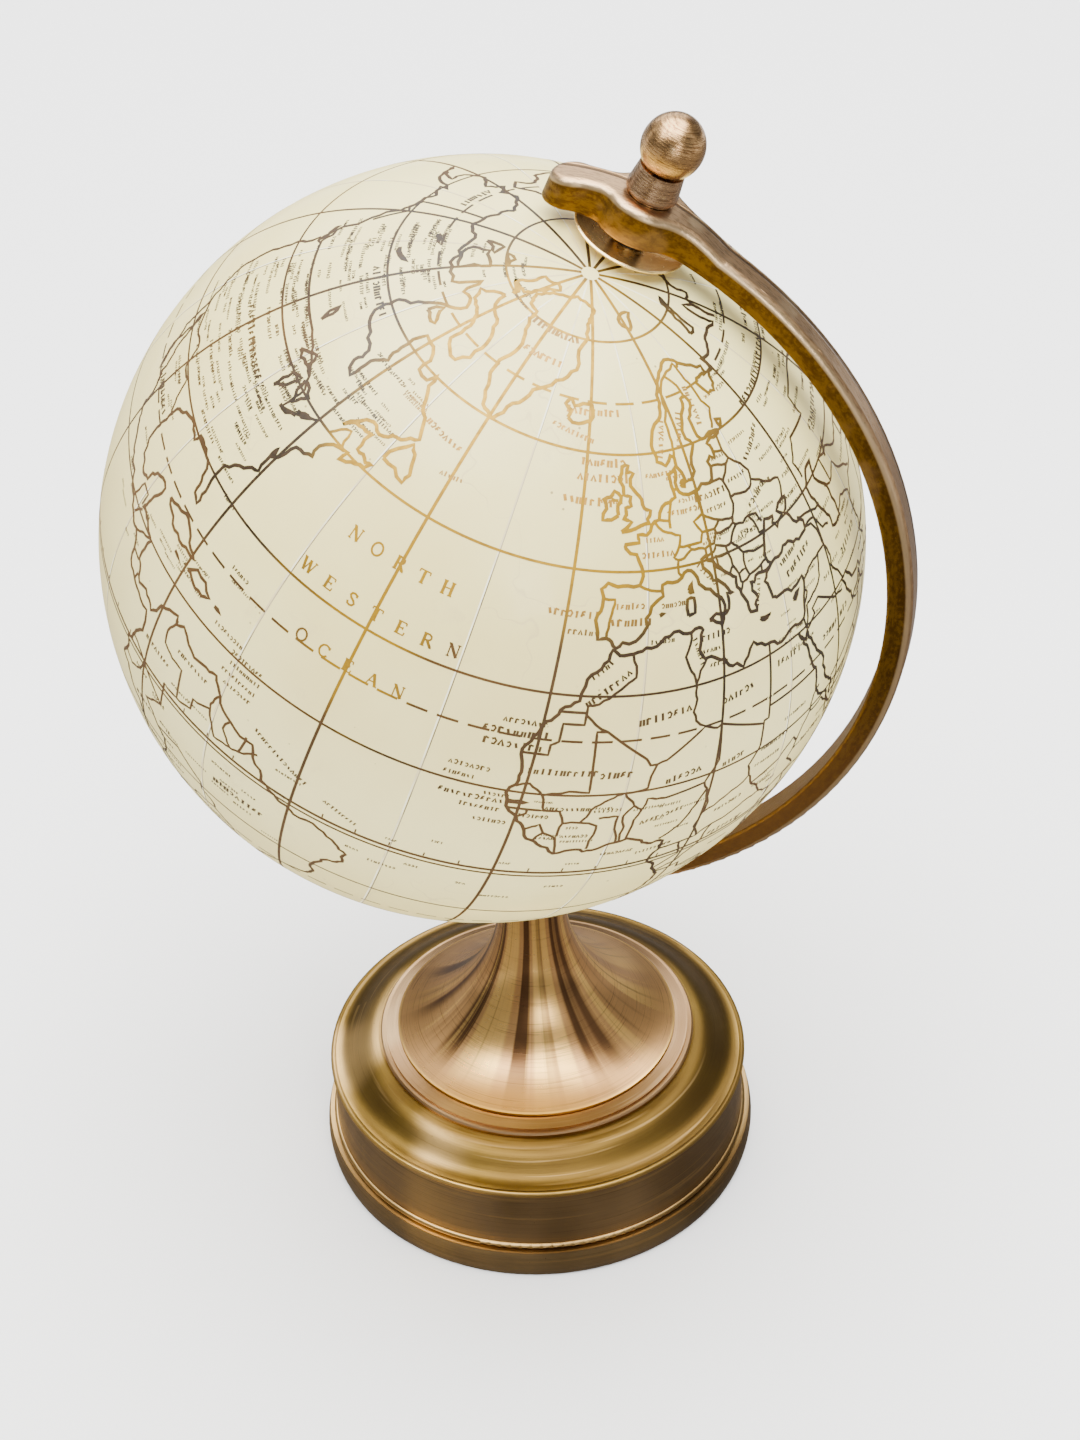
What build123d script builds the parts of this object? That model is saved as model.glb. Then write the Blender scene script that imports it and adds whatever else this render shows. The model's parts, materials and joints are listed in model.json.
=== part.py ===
from build123d import *
import os
from math import cos, radians, sin, sqrt

# A desk globe on a brass stand. Millimetres, +Z up.
# The origin is the centre of the foot, on the table. The arm lies in the XZ plane, on the +X side.

# ---------------------------------------------------------------- globe
GLOBE_R = 100.0          # outside of the printed paper
PAPER_T = 0.30           # printed gore paper with its varnish
GLUE_GAP = 0.05          # paste layer under the gores
SHELL_T = 2.2            # moulded hemisphere wall
GORE_COUNT = 12
GORE_GAP_DEG = 0.06      # hairline between two gores
GORE_START_DEG = 8.6     # bearing of the first joint from the arm, about the spindle
POLE_HOLE_R = 5.0        # hole in the paper at each pole
HOOP_T = 1.8             # join hoop inside the equator
HOOP_W = 16.0
HOOP_GAP = 0.10

# ---------------------------------------------------------------- spindle and its fittings
AXIS_TILT = 23.4         # lean of the spindle from the vertical, degrees
AXLE_R = 2.5
RUN_CLEAR = 0.06         # radial running clearance of the bushings on the axle
PASS_CLEAR = 0.10        # clearance where the axle passes a fixed piece
BUSH_R = 4.1             # barrel of a pole bushing
BUSH_FLANGE_R = 7.5
BUSH_FLANGE_T = 2.0
FIT_CLEAR = 0.05         # close fit between two fixed pieces
BUSH_PROUD = 1.6         # how far a bushing stands out of the paper
THRUST_GAP = 0.30        # end float between a bushing and its spacer
AXLE_TUBE_WALL = 1.0
AXLE_TUBE_CLEAR = 0.40   # tube inside to axle
CAP_R = 14.4             # shallow dish over the pole, its rim up
CAP_T = 0.9
CAP_LIFT = 0.6           # underside of the cap above the paper, at its hub
CAP_RISE = 1.6           # rim above the hub
CAP_EDGE = 0.3           # broken edges of the rim
SPACER_R = 4.0
POLE_GAP = 5.0           # paper to the inside of the arm, at a pole

# ---------------------------------------------------------------- arm
ARM_T = 6.6              # radial thickness
ARM_W = 9.9              # width across the arc
ARM_BOW = 3.0            # centre of the arm's arc, outside the globe's centre
ARM_EDGE_OUT = 1.9       # rounding of the outer edges
ARM_EDGE_IN = 0.7
BOSS_R = 10.0            # round swelling about the top pivot
LOW_BOSS_R = 8.5
TIP_R = 5.6              # lobe at the free end
TIP_REACH = 17.9         # pivot to the centre of the lobe
NECK_W = 9.8             # waist between the swelling and the lobe
CROWN_RISE = 3.0         # top of the swelling above the bar's outside, at the pivot
CROWN_R = 56.0           # side profile of the swelling's top
CROWN_BLEND = 14.0       # where the swelling's top runs into the bar
NECK_FILLET = 5.0
BOSS_FILLET = 14.0
SPOT_DEPTH = 0.6         # flats faced into the arm for the washers and spacers
SPOT_CLEAR = 0.3
GLOBE_X = -9.5           # globe's centre, to the side of the foot's centre

# ---------------------------------------------------------------- finial and lower nut
WASHER_R = 5.7
WASHER_T = 1.2
COLLAR_TOP_R = 5.7
COLLAR_LOW_R = 6.55
COLLAR_H = 7.2
COLLAR_BREAK = 0.5
COLLAR_FOOT_H = 1.1      # upright edge at the collar's foot
BALL_R = 7.7
BALL_AXIAL_R = 8.2
BALL_SINK = 1.9          # ball below the top of the collar
BALL_TAP_DEPTH = 6.0     # axle into the ball, past its seat
NUT_AF = 8.0             # across flats of the bottom nut
NUT_H = 5.0
NUT_DOME_H = 3.0
NUT_SHOULDER = 0.2       # hexagon's flats outside the dome
NUT_SHANK_GAP = 0.5

# ---------------------------------------------------------------- foot
FELT_T = 1.2
FELT_INSET = 2.6
BOARD_T = 4.0
SHELL_EDGE_Z = 0.5       # brass edge above the table
SHEET_T = 1.2            # spun brass sheet
BAND_R = 65.0            # lower band
BAND_BULGE = 0.8
BAND_TOP_Z = 9.4
BEAD_R = 62.9            # centre of the bead above the band
BEAD_SECTION_R = 0.95
WALL_LOW_R = 62.1        # upright wall over the bead
WALL_TOP_R = 61.2
RIM_R = 62.5             # rolled rim
RIM_SECTION_R = 0.95
RIM_Z = 32.2             # top of the rim
RIM_CURL = 0.3           # how far the roll comes over the wall
DISH_IN_R = 47.6         # inner end of the sloping dish
DISH_MID = (0.55, 0.42)  # share of the dish's run and rise where its ogee turns
DISH_LOW_SLOPE = 0.05    # slope where the dish leaves the rim
DISH_TOP_SLOPE = 0.12    # slope where it meets the flat
TOP_PLATE_Z = 39.2       # flat top under the seat ring

# ---------------------------------------------------------------- stem
RING_R = 46.9            # seat ring
RING_STEP_R = 45.2
RING_BORE_R = 34.0
RING_H = 2.7
RING_STEP_H = 1.5
RING_EDGE = 0.45         # broken outer edge
RING_SLOPE_H = 0.9       # fall of the ring's top towards its edge
STEM_FOOT_R = 41.5
STEM_FOOT_EDGE = 1.2
STEM_FOOT_BREAK = 0.5
STEM_H = 51.0            # seat ring to the top of the neck
STEM_NECK_R = 9.6
STEM_NECK_H = 3.0        # straight part at the top
STEM_WALL = 2.0
STEM_TOP_T = 5.0
FOOT_BOSS_R = 8.2        # boss under the arm, on the neck
FOOT_BOSS_H = 6.0        # neck to the outside of the arm

# ---------------------------------------------------------------- ballast and tie rod
BALLAST_GAP = 1.0
BALLAST_TOP_Z = 29.0
BALLAST_WEB_T = 10.0     # iron above the nut pocket
BALLAST_POCKET_R = 17.0
BALLAST_CROWN_R = 32.0
BALLAST_CHAMFER = 3.0
TIE_R = 3.0
TIE_CLEAR = 0.3
TIE_THREAD_UP = 9.0      # rod into the arm
TIE_END_GAP = 0.5
TIE_NUT_AF = 10.0
TIE_NUT_H = 5.0
TIE_WASHER_R = 9.0
TIE_WASHER_T = 1.6
SPRING_WASHER_R = 5.3
SPRING_WASHER_T = 1.5
SPRING_WASHER_SLIT = 1.2
TIE_TAIL = 2.5           # rod below its nut
ROD_END = 0.4            # broken end of a rod

# ---------------------------------------------------------------- heights and distances that follow
RING_TOP_Z = TOP_PLATE_Z + RING_H
NECK_TOP_Z = RING_TOP_Z + STEM_H
ARM_IN_R = sqrt((GLOBE_R + POLE_GAP) ** 2 + ARM_BOW**2)
ARM_OUT_R = ARM_IN_R + ARM_T
TILT = radians(AXIS_TILT)
ARM_X = GLOBE_X + ARM_BOW * cos(TILT)
ARM_Z = NECK_TOP_Z + FOOT_BOSS_H + sqrt(ARM_OUT_R**2 - ARM_X**2)
GLOBE_Z = ARM_Z + ARM_BOW * sin(TILT)
SPINDLE = Plane(
    origin=(GLOBE_X, 0, GLOBE_Z),
    x_dir=(cos(TILT), 0, -sin(TILT)),
    z_dir=(sin(TILT), 0, cos(TILT)),
).location
SHELL_OUT_R = GLOBE_R - PAPER_T - GLUE_GAP
SHELL_IN_R = SHELL_OUT_R - SHELL_T
BUSH_TOP = GLOBE_R + BUSH_PROUD
ARM_SEAT_IN = GLOBE_R + POLE_GAP + SPOT_DEPTH
ARM_SEAT_OUT = sqrt(ARM_OUT_R**2 - ARM_BOW**2) - SPOT_DEPTH
CROWN_H = sqrt(ARM_OUT_R**2 - ARM_BOW**2) + CROWN_RISE  # top of the swelling
ARM_SEAT_TOP = CROWN_H - SPOT_DEPTH
COLLAR_LOW = ARM_SEAT_TOP + WASHER_T
COLLAR_TOP = COLLAR_LOW + COLLAR_H
BALL_CENTRE = COLLAR_TOP + BALL_AXIAL_R - BALL_SINK
AXLE_TOP = COLLAR_TOP + BALL_TAP_DEPTH
NUT_LOW = ARM_SEAT_OUT + WASHER_T
AXLE_LOW = NUT_LOW + NUT_H
BOARD_Z = FELT_T
BOARD_TOP_Z = BOARD_Z + BOARD_T
POCKET_TOP_Z = BALLAST_TOP_Z - BALLAST_WEB_T
CAVITY_R = BAND_R - BAND_BULGE - SHEET_T / 2
WALL_IN_R = WALL_TOP_R - RIM_CURL - SHEET_T


def rod(radius, low, high):
    """A plain cylinder on Z, from low to high."""
    return Pos(0, 0, (low + high) / 2) * Cylinder(radius, high - low)


def tube(inner, outer, low, high):
    """A straight tube on Z."""
    return rod(outer, low, high) - rod(inner, low - 1, high + 1)


def flip(solid):
    """The same piece at the south pole."""
    return Rot(180, 0, 0) * solid


def flat(shape):
    """The shape's solids side by side, with no placement left over them."""
    solids = shape.solids()
    return solids[0] if len(solids) == 1 else Compound(solids)


def turned(*points):
    """A solid turned about Z from (radius, height) corners."""
    outline = Polyline(*[(r, z) for r, z in points], close=True)
    return revolve(Plane.XZ * make_face(outline), Axis.Z)


def hexagon(flats, low, high):
    """A hexagonal prism on Z."""
    return Pos(0, 0, low) * extrude(RegularPolygon(flats / sqrt(3), 6), high - low)


def spherical_wall(inner, outer, low, high, arc=360.0):
    """A wall between two spheres, kept from height low to height high, turned through arc."""

    def at(radius, z):
        return (sqrt(radius**2 - z**2), z)

    middle = (low + high) / 2
    outside = ThreePointArc(at(outer, low), at(outer, middle), at(outer, high))
    top = Line(at(outer, high), at(inner, high))
    inside = ThreePointArc(at(inner, high), at(inner, middle), at(inner, low))
    bottom = Line(at(inner, low), at(outer, low))
    face = make_face([outside, top, inside, bottom])
    return revolve(Plane.XZ * face, Axis.Z, revolution_arc=arc)


# ---------------------------------------------------------------- foot
def make_felt_pad():
    return rod(BAND_R - FELT_INSET, 0, FELT_T)


def make_bottom_board():
    return rod(CAVITY_R - FIT_CLEAR, BOARD_Z, BOARD_TOP_Z)


def base_shell_outline():
    """The outside of the spun shell: band, wall, rolled rim, ogee dish and flat top."""
    band_low = (BAND_R - BAND_BULGE, SHELL_EDGE_Z)
    band_high = (BAND_R - BAND_BULGE, BAND_TOP_Z)
    band = ThreePointArc(band_low, (BAND_R, (SHELL_EDGE_Z + BAND_TOP_Z) / 2), band_high)
    step = Line(band_high, (WALL_LOW_R, BAND_TOP_Z))
    rim_low = (WALL_TOP_R, RIM_Z - 2 * RIM_SECTION_R)
    wall = Line((WALL_LOW_R, BAND_TOP_Z), rim_low)
    rim_high = (WALL_TOP_R - RIM_CURL, RIM_Z)
    rim = ThreePointArc(rim_low, (RIM_R, RIM_Z - RIM_SECTION_R), rim_high)
    dish_drop = TOP_PLATE_Z - RIM_Z
    dish_run = rim_high[0] - DISH_IN_R
    dish = Spline(
        rim_high,
        (DISH_IN_R + dish_run * DISH_MID[0], RIM_Z + dish_drop * DISH_MID[1]),
        (DISH_IN_R, TOP_PLATE_Z),
        tangents=[(-1, DISH_LOW_SLOPE), (-1, DISH_TOP_SLOPE)],
    )
    plate = Polyline((DISH_IN_R, TOP_PLATE_Z), (0, TOP_PLATE_Z), (0, SHELL_EDGE_Z), band_low)
    return make_face([band, step, wall, rim, dish, plate])


def make_base_shell():
    solid = revolve(Plane.XZ * base_shell_outline(), Axis.Z)
    bead_z = BAND_TOP_Z + BEAD_SECTION_R
    solid += Pos(0, 0, bead_z) * Torus(BEAD_R - BEAD_SECTION_R, BEAD_SECTION_R)
    cavity = turned(
        (0, SHELL_EDGE_Z - 1),
        (CAVITY_R, SHELL_EDGE_Z - 1),
        (CAVITY_R, BAND_TOP_Z - SHEET_T),
        (WALL_IN_R, BAND_TOP_Z + SHEET_T),
        (WALL_IN_R, RIM_Z - 2 * SHEET_T),
        (DISH_IN_R - SHEET_T, TOP_PLATE_Z - SHEET_T),
        (0, TOP_PLATE_Z - SHEET_T),
    )
    return solid - cavity - rod(TIE_R + TIE_CLEAR, 0, TOP_PLATE_Z + 1)


def make_ballast():
    outer_r = WALL_IN_R - BALLAST_GAP
    crown_top = TOP_PLATE_Z - SHEET_T
    body = rod(outer_r, BOARD_TOP_Z, BALLAST_TOP_Z)
    body = chamfer(body.edges().group_by(Axis.Z)[-1], BALLAST_CHAMFER)
    body += turned(
        (0, BALLAST_TOP_Z - 1),
        (BALLAST_CROWN_R + BALLAST_CHAMFER, BALLAST_TOP_Z - 1),
        (BALLAST_CROWN_R, crown_top),
        (0, crown_top),
    )
    body -= rod(BALLAST_POCKET_R, BOARD_TOP_Z - 1, POCKET_TOP_Z)
    return body - rod(TIE_R + TIE_CLEAR, 0, crown_top + 1)


def make_seat_ring():
    ledge = RING_TOP_Z - RING_STEP_H
    return turned(
        (RING_BORE_R, TOP_PLATE_Z),
        (RING_R, TOP_PLATE_Z),
        (RING_R, ledge - RING_EDGE),
        (RING_R - RING_EDGE, ledge),
        (RING_STEP_R, ledge),
        (RING_STEP_R, RING_TOP_Z - RING_SLOPE_H),
        (STEM_FOOT_R, RING_TOP_Z),
        (RING_BORE_R, RING_TOP_Z),
    )


# ---------------------------------------------------------------- stem
def flare(foot_r, neck_r, low, high):
    """A quarter-round flare, upright at the neck, as one arc from the foot's edge."""
    run, rise = foot_r - neck_r, high - low
    radius = (run**2 + rise**2) / (2 * run)
    half = rise / 2
    middle_r = neck_r + radius - sqrt(radius**2 - half**2)
    return ThreePointArc((foot_r, low), (middle_r, high - half), (neck_r, high))


def make_stem():
    low, top = RING_TOP_Z, NECK_TOP_Z
    foot_z, neck_z = low + STEM_FOOT_EDGE, top - STEM_NECK_H
    broken = STEM_FOOT_R - STEM_FOOT_BREAK
    edge = Polyline((0, low), (broken, low), (STEM_FOOT_R, low + STEM_FOOT_BREAK), (STEM_FOOT_R, foot_z))
    neck = Polyline((STEM_NECK_R, neck_z), (STEM_NECK_R, top), (0, top), (0, low))
    outside = [edge, flare(STEM_FOOT_R, STEM_NECK_R, foot_z, neck_z), neck]
    body = revolve(Plane.XZ * make_face(outside), Axis.Z)
    hollow_r = STEM_FOOT_R - 2 * STEM_WALL
    hollow_top = top - STEM_TOP_T
    inner_r = STEM_NECK_R - STEM_WALL
    inside = [
        Polyline((0, low - 1), (hollow_r, low - 1), (hollow_r, low)),
        flare(hollow_r, inner_r, low, hollow_top),
        Polyline((inner_r, hollow_top), (0, hollow_top), (0, low - 1)),
    ]
    body -= revolve(Plane.XZ * make_face(inside), Axis.Z)
    return body - rod(TIE_R + TIE_CLEAR, low, top + 1)


# ---------------------------------------------------------------- tie rod and its hardware
TIE_WASHER_Z = POCKET_TOP_Z - TIE_WASHER_T
SPRING_WASHER_Z = TIE_WASHER_Z - SPRING_WASHER_T
TIE_NUT_Z = SPRING_WASHER_Z - TIE_NUT_H


def make_tie_rod():
    body = rod(TIE_R, TIE_NUT_Z - TIE_TAIL, NECK_TOP_Z + TIE_THREAD_UP)
    return chamfer(body.edges(), ROD_END)


def make_tie_washer():
    return tube(TIE_R + TIE_CLEAR, TIE_WASHER_R, TIE_WASHER_Z, POCKET_TOP_Z)


def make_spring_washer():
    ring = tube(TIE_R + TIE_CLEAR, SPRING_WASHER_R, SPRING_WASHER_Z, TIE_WASHER_Z)
    slit = Pos(SPRING_WASHER_R, 0, SPRING_WASHER_Z) * Box(
        2 * SPRING_WASHER_R, SPRING_WASHER_SLIT, 4 * SPRING_WASHER_T
    )
    return ring - slit


def make_tie_nut():
    return hexagon(TIE_NUT_AF, TIE_NUT_Z, SPRING_WASHER_Z) - rod(TIE_R + FIT_CLEAR, 0, NECK_TOP_Z)


# ---------------------------------------------------------------- arm
def end_plan():
    """Plan of the arm's upper end, seen along the spindle: swelling, waist and lobe."""
    neck = Pos(-TIP_REACH / 2, 0) * Rectangle(TIP_REACH, NECK_W)
    plan = Circle(BOSS_R) + neck + Pos(-TIP_REACH, 0) * Circle(TIP_R)
    corners = [v for v in plan.vertices() if abs(abs(v.Y) - NECK_W / 2) < 0.01]
    plan = fillet(corners, NECK_FILLET)
    run = 3 * BOSS_R
    plan += Pos(run / 2, 0) * Rectangle(run, ARM_W)
    corners = [v for v in plan.vertices() if v.X > 0 and v.X < run / 2]
    return fillet(corners, BOSS_FILLET)


def arm_bar():
    """The bowed bar in the spindle's own frame, with both ends shaped and its edges rounded."""
    turn = Pos(ARM_BOW, 0, 0) * Rot(90, 0, 0)
    width = 3 * BOSS_R
    inside = turn * Cylinder(ARM_IN_R, 2 * width)
    crown = Pos(0, 0, CROWN_H - CROWN_R) * Rot(90, 0, 0) * Cylinder(CROWN_R, width)
    ring = turn * Cylinder(ARM_OUT_R, width) + crown - inside

    def lies_across(edge):
        return abs(abs((edge @ 1 - edge @ 0).Y) - edge.length) < 0.01

    def lies_at(edge, low, high):
        points = [edge @ t for t in (0.0, 0.3, 0.7, 1.0)]
        return all(low - 0.01 < sqrt((p.X - ARM_BOW) ** 2 + p.Z**2) < high + 0.01 for p in points)

    joins = [e for e in ring.edges() if lies_across(e) and lies_at(e, ARM_OUT_R, ARM_OUT_R)]
    ring = fillet(joins, CROWN_BLEND)
    reach = 2 * ARM_OUT_R
    mask = Pos(reach / 2, 0, 0) * Box(reach, ARM_W, 2 * reach)
    mask += extrude(end_plan(), reach)
    mask += Pos(0, 0, -reach) * extrude(Circle(LOW_BOSS_R), reach)
    bar = ring & mask
    outer = [e for e in bar.edges() if lies_at(e, ARM_OUT_R, reach) and not lies_across(e)]
    bar = fillet(outer, ARM_EDGE_OUT)
    return fillet([e for e in bar.edges() if lies_at(e, ARM_IN_R, ARM_IN_R)], ARM_EDGE_IN)


def make_arm():
    bar = SPINDLE * arm_bar()
    boss = rod(FOOT_BOSS_R, NECK_TOP_Z, NECK_TOP_Z + FOOT_BOSS_H + ARM_T / 2)
    arm = bar + boss
    for side, seat in ((1, ARM_SEAT_TOP), (-1, ARM_SEAT_OUT)):
        seat_in = rod(SPACER_R + SPOT_CLEAR, GLOBE_R, ARM_SEAT_IN)
        seat_out = rod(WASHER_R + SPOT_CLEAR, seat, seat + ARM_T)
        bore = rod(AXLE_R + PASS_CLEAR, GLOBE_R, seat + ARM_T)
        cuts = seat_in + seat_out + bore
        arm -= SPINDLE * (cuts if side > 0 else flip(cuts))
    return arm - rod(TIE_R + FIT_CLEAR, NECK_TOP_Z - 1, NECK_TOP_Z + TIE_THREAD_UP + TIE_END_GAP)


# ---------------------------------------------------------------- globe, in the spindle's own frame
def make_shell_north():
    pole = sqrt(SHELL_IN_R**2 - BUSH_R**2)
    return spherical_wall(SHELL_IN_R, SHELL_OUT_R, 0, pole) - rod(BUSH_R + FIT_CLEAR, 0, GLOBE_R + 1)


def make_hoop():
    outer = sqrt(SHELL_IN_R**2 - (HOOP_W / 2) ** 2) - HOOP_GAP
    return tube(outer - HOOP_T, outer, -HOOP_W / 2, HOOP_W / 2)


def make_gores():
    high = sqrt((GLOBE_R - PAPER_T) ** 2 - POLE_HOLE_R**2)
    pitch = 360.0 / GORE_COUNT
    gore = spherical_wall(GLOBE_R - PAPER_T, GLOBE_R, -high, high, pitch - GORE_GAP_DEG)
    return Compound(children=[Rot(0, 0, GORE_START_DEG + i * pitch) * gore for i in range(GORE_COUNT)])


def make_bushing():
    seat = sqrt(SHELL_IN_R**2 - BUSH_FLANGE_R**2) - FIT_CLEAR
    flange = rod(BUSH_FLANGE_R, seat - BUSH_FLANGE_T, seat)
    return flange + rod(BUSH_R, seat - 1, BUSH_TOP) - rod(AXLE_R + RUN_CLEAR, 0, BUSH_TOP + 1)


def make_axle_tube():
    inner = AXLE_R + AXLE_TUBE_CLEAR
    seat = sqrt(SHELL_IN_R**2 - BUSH_FLANGE_R**2) - FIT_CLEAR - BUSH_FLANGE_T - FIT_CLEAR
    return tube(inner, inner + AXLE_TUBE_WALL, -seat, seat)


def make_cap():
    hub_r = BUSH_R + FIT_CLEAR
    low = GLOBE_R + CAP_LIFT
    rim = low + CAP_RISE
    top = Spline((CAP_R - CAP_EDGE, rim + CAP_T), (CAP_R / 2, low + CAP_T + CAP_RISE / 4), (hub_r, low + CAP_T))
    under = Spline((hub_r, low), (CAP_R / 2, low + CAP_RISE / 4), (CAP_R - CAP_EDGE, rim))
    hub = Line((hub_r, low + CAP_T), (hub_r, low))
    edge = Polyline(
        (CAP_R - CAP_EDGE, rim),
        (CAP_R, rim + CAP_EDGE),
        (CAP_R, rim + CAP_T - CAP_EDGE),
        (CAP_R - CAP_EDGE, rim + CAP_T),
    )
    return revolve(Plane.XZ * make_face([top, hub, under, edge]), Axis.Z)


def make_spacer():
    return tube(AXLE_R + PASS_CLEAR, SPACER_R, BUSH_TOP + THRUST_GAP, ARM_SEAT_IN)


def make_axle():
    body = rod(AXLE_R, -AXLE_LOW, AXLE_TOP)
    return chamfer(body.edges(), ROD_END)


# ---------------------------------------------------------------- finial and bottom nut, in the spindle's own frame
def make_washer(seat):
    return tube(AXLE_R + PASS_CLEAR, WASHER_R, seat, seat + WASHER_T)


def ball_solid():
    """The finial's slightly drawn-out ball."""
    shape = Plane.XZ * (Ellipse(BALL_R, BALL_AXIAL_R) & Pos(BALL_R, 0) * Rectangle(2 * BALL_R, 4 * BALL_R))
    return Pos(0, 0, BALL_CENTRE) * revolve(shape, Axis.Z)


def make_collar():
    body = turned(
        (0, COLLAR_LOW),
        (COLLAR_LOW_R - COLLAR_BREAK, COLLAR_LOW),
        (COLLAR_LOW_R, COLLAR_LOW + COLLAR_BREAK),
        (COLLAR_LOW_R, COLLAR_LOW + COLLAR_FOOT_H),
        (COLLAR_TOP_R, COLLAR_TOP),
        (0, COLLAR_TOP),
    )
    return body - ball_solid() - rod(AXLE_R + PASS_CLEAR, COLLAR_LOW - 1, COLLAR_TOP + 1)


def make_ball():
    return ball_solid() - rod(AXLE_R + FIT_CLEAR, COLLAR_LOW, AXLE_TOP + 1)


def make_bottom_nut():
    low, high = NUT_LOW, NUT_LOW + NUT_H
    dome_r = NUT_AF / 2 - NUT_SHOULDER
    dome = Pos(0, 0, high) * scale(Sphere(dome_r), (1, 1, NUT_DOME_H / dome_r))
    nut = hexagon(NUT_AF, low, high) + dome
    return nut - rod(AXLE_R + FIT_CLEAR, low - 1, AXLE_LOW + NUT_SHANK_GAP)


FIXED = {
    "felt_pad": make_felt_pad,
    "bottom_board": make_bottom_board,
    "base_shell": make_base_shell,
    "ballast": make_ballast,
    "seat_ring": make_seat_ring,
    "stem": make_stem,
    "tie_rod": make_tie_rod,
    "tie_washer": make_tie_washer,
    "spring_washer": make_spring_washer,
    "tie_nut": make_tie_nut,
    "arm": make_arm,
}
ON_SPINDLE = {
    "globe_shell_north": make_shell_north,
    "globe_shell_south": lambda: flip(make_shell_north()),
    "equator_hoop": make_hoop,
    "map_gores": make_gores,
    "bushing_north": make_bushing,
    "bushing_south": lambda: flip(make_bushing()),
    "axle_tube": make_axle_tube,
    "cap_north": make_cap,
    "cap_south": lambda: flip(make_cap()),
    "spacer_north": make_spacer,
    "spacer_south": lambda: flip(make_spacer()),
    "axle": make_axle,
    "finial_washer": lambda: make_washer(ARM_SEAT_TOP),
    "finial_collar": make_collar,
    "finial_ball": make_ball,
    "bottom_washer": lambda: flip(make_washer(ARM_SEAT_OUT)),
    "bottom_nut": lambda: flip(make_bottom_nut()),
}


def main():
    os.makedirs("parts", exist_ok=True)
    for name, make in FIXED.items():
        export_step(make(), f"parts/{name}.step")
    for name, make in ON_SPINDLE.items():
        export_step(flat(SPINDLE * make()), f"parts/{name}.step")
    print("globe centre", round(GLOBE_X, 3), 0.0, round(GLOBE_Z, 3))
    print("arm centre", round(ARM_X, 3), 0.0, round(ARM_Z, 3), "radii", round(ARM_IN_R, 3), round(ARM_OUT_R, 3))
    print("finial top", round(GLOBE_Z + BALL_CENTRE * cos(TILT) + BALL_AXIAL_R, 2))


if __name__ == "__main__":
    main()
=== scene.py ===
"""A desk globe on a brass stand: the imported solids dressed, and the printed map laid over the ball."""

import json
import logging
import math
import random
from dataclasses import dataclass, field
from enum import Enum
from typing import Any, Iterable, Mapping, Sequence

import bpy
import numpy as np
from mathutils import Matrix, Vector


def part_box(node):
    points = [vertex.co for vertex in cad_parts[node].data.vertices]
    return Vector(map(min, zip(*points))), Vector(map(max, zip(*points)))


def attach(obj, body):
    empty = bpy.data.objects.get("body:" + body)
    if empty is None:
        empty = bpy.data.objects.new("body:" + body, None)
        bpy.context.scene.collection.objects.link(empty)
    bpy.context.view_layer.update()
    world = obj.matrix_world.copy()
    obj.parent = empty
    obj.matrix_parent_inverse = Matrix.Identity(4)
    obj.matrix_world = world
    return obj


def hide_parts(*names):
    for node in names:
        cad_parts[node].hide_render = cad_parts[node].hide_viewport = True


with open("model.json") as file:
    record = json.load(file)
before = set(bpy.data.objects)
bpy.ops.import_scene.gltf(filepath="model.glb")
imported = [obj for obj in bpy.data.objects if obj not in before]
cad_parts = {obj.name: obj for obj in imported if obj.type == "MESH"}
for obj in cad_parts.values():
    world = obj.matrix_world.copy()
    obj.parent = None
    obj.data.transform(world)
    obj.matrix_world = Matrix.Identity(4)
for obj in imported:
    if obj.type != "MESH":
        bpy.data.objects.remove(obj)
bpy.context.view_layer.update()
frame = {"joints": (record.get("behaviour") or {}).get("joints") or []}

Colour = tuple[float, float, float]
MM = 0.001
LOG = logging.getLogger("desk_globe")


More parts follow.
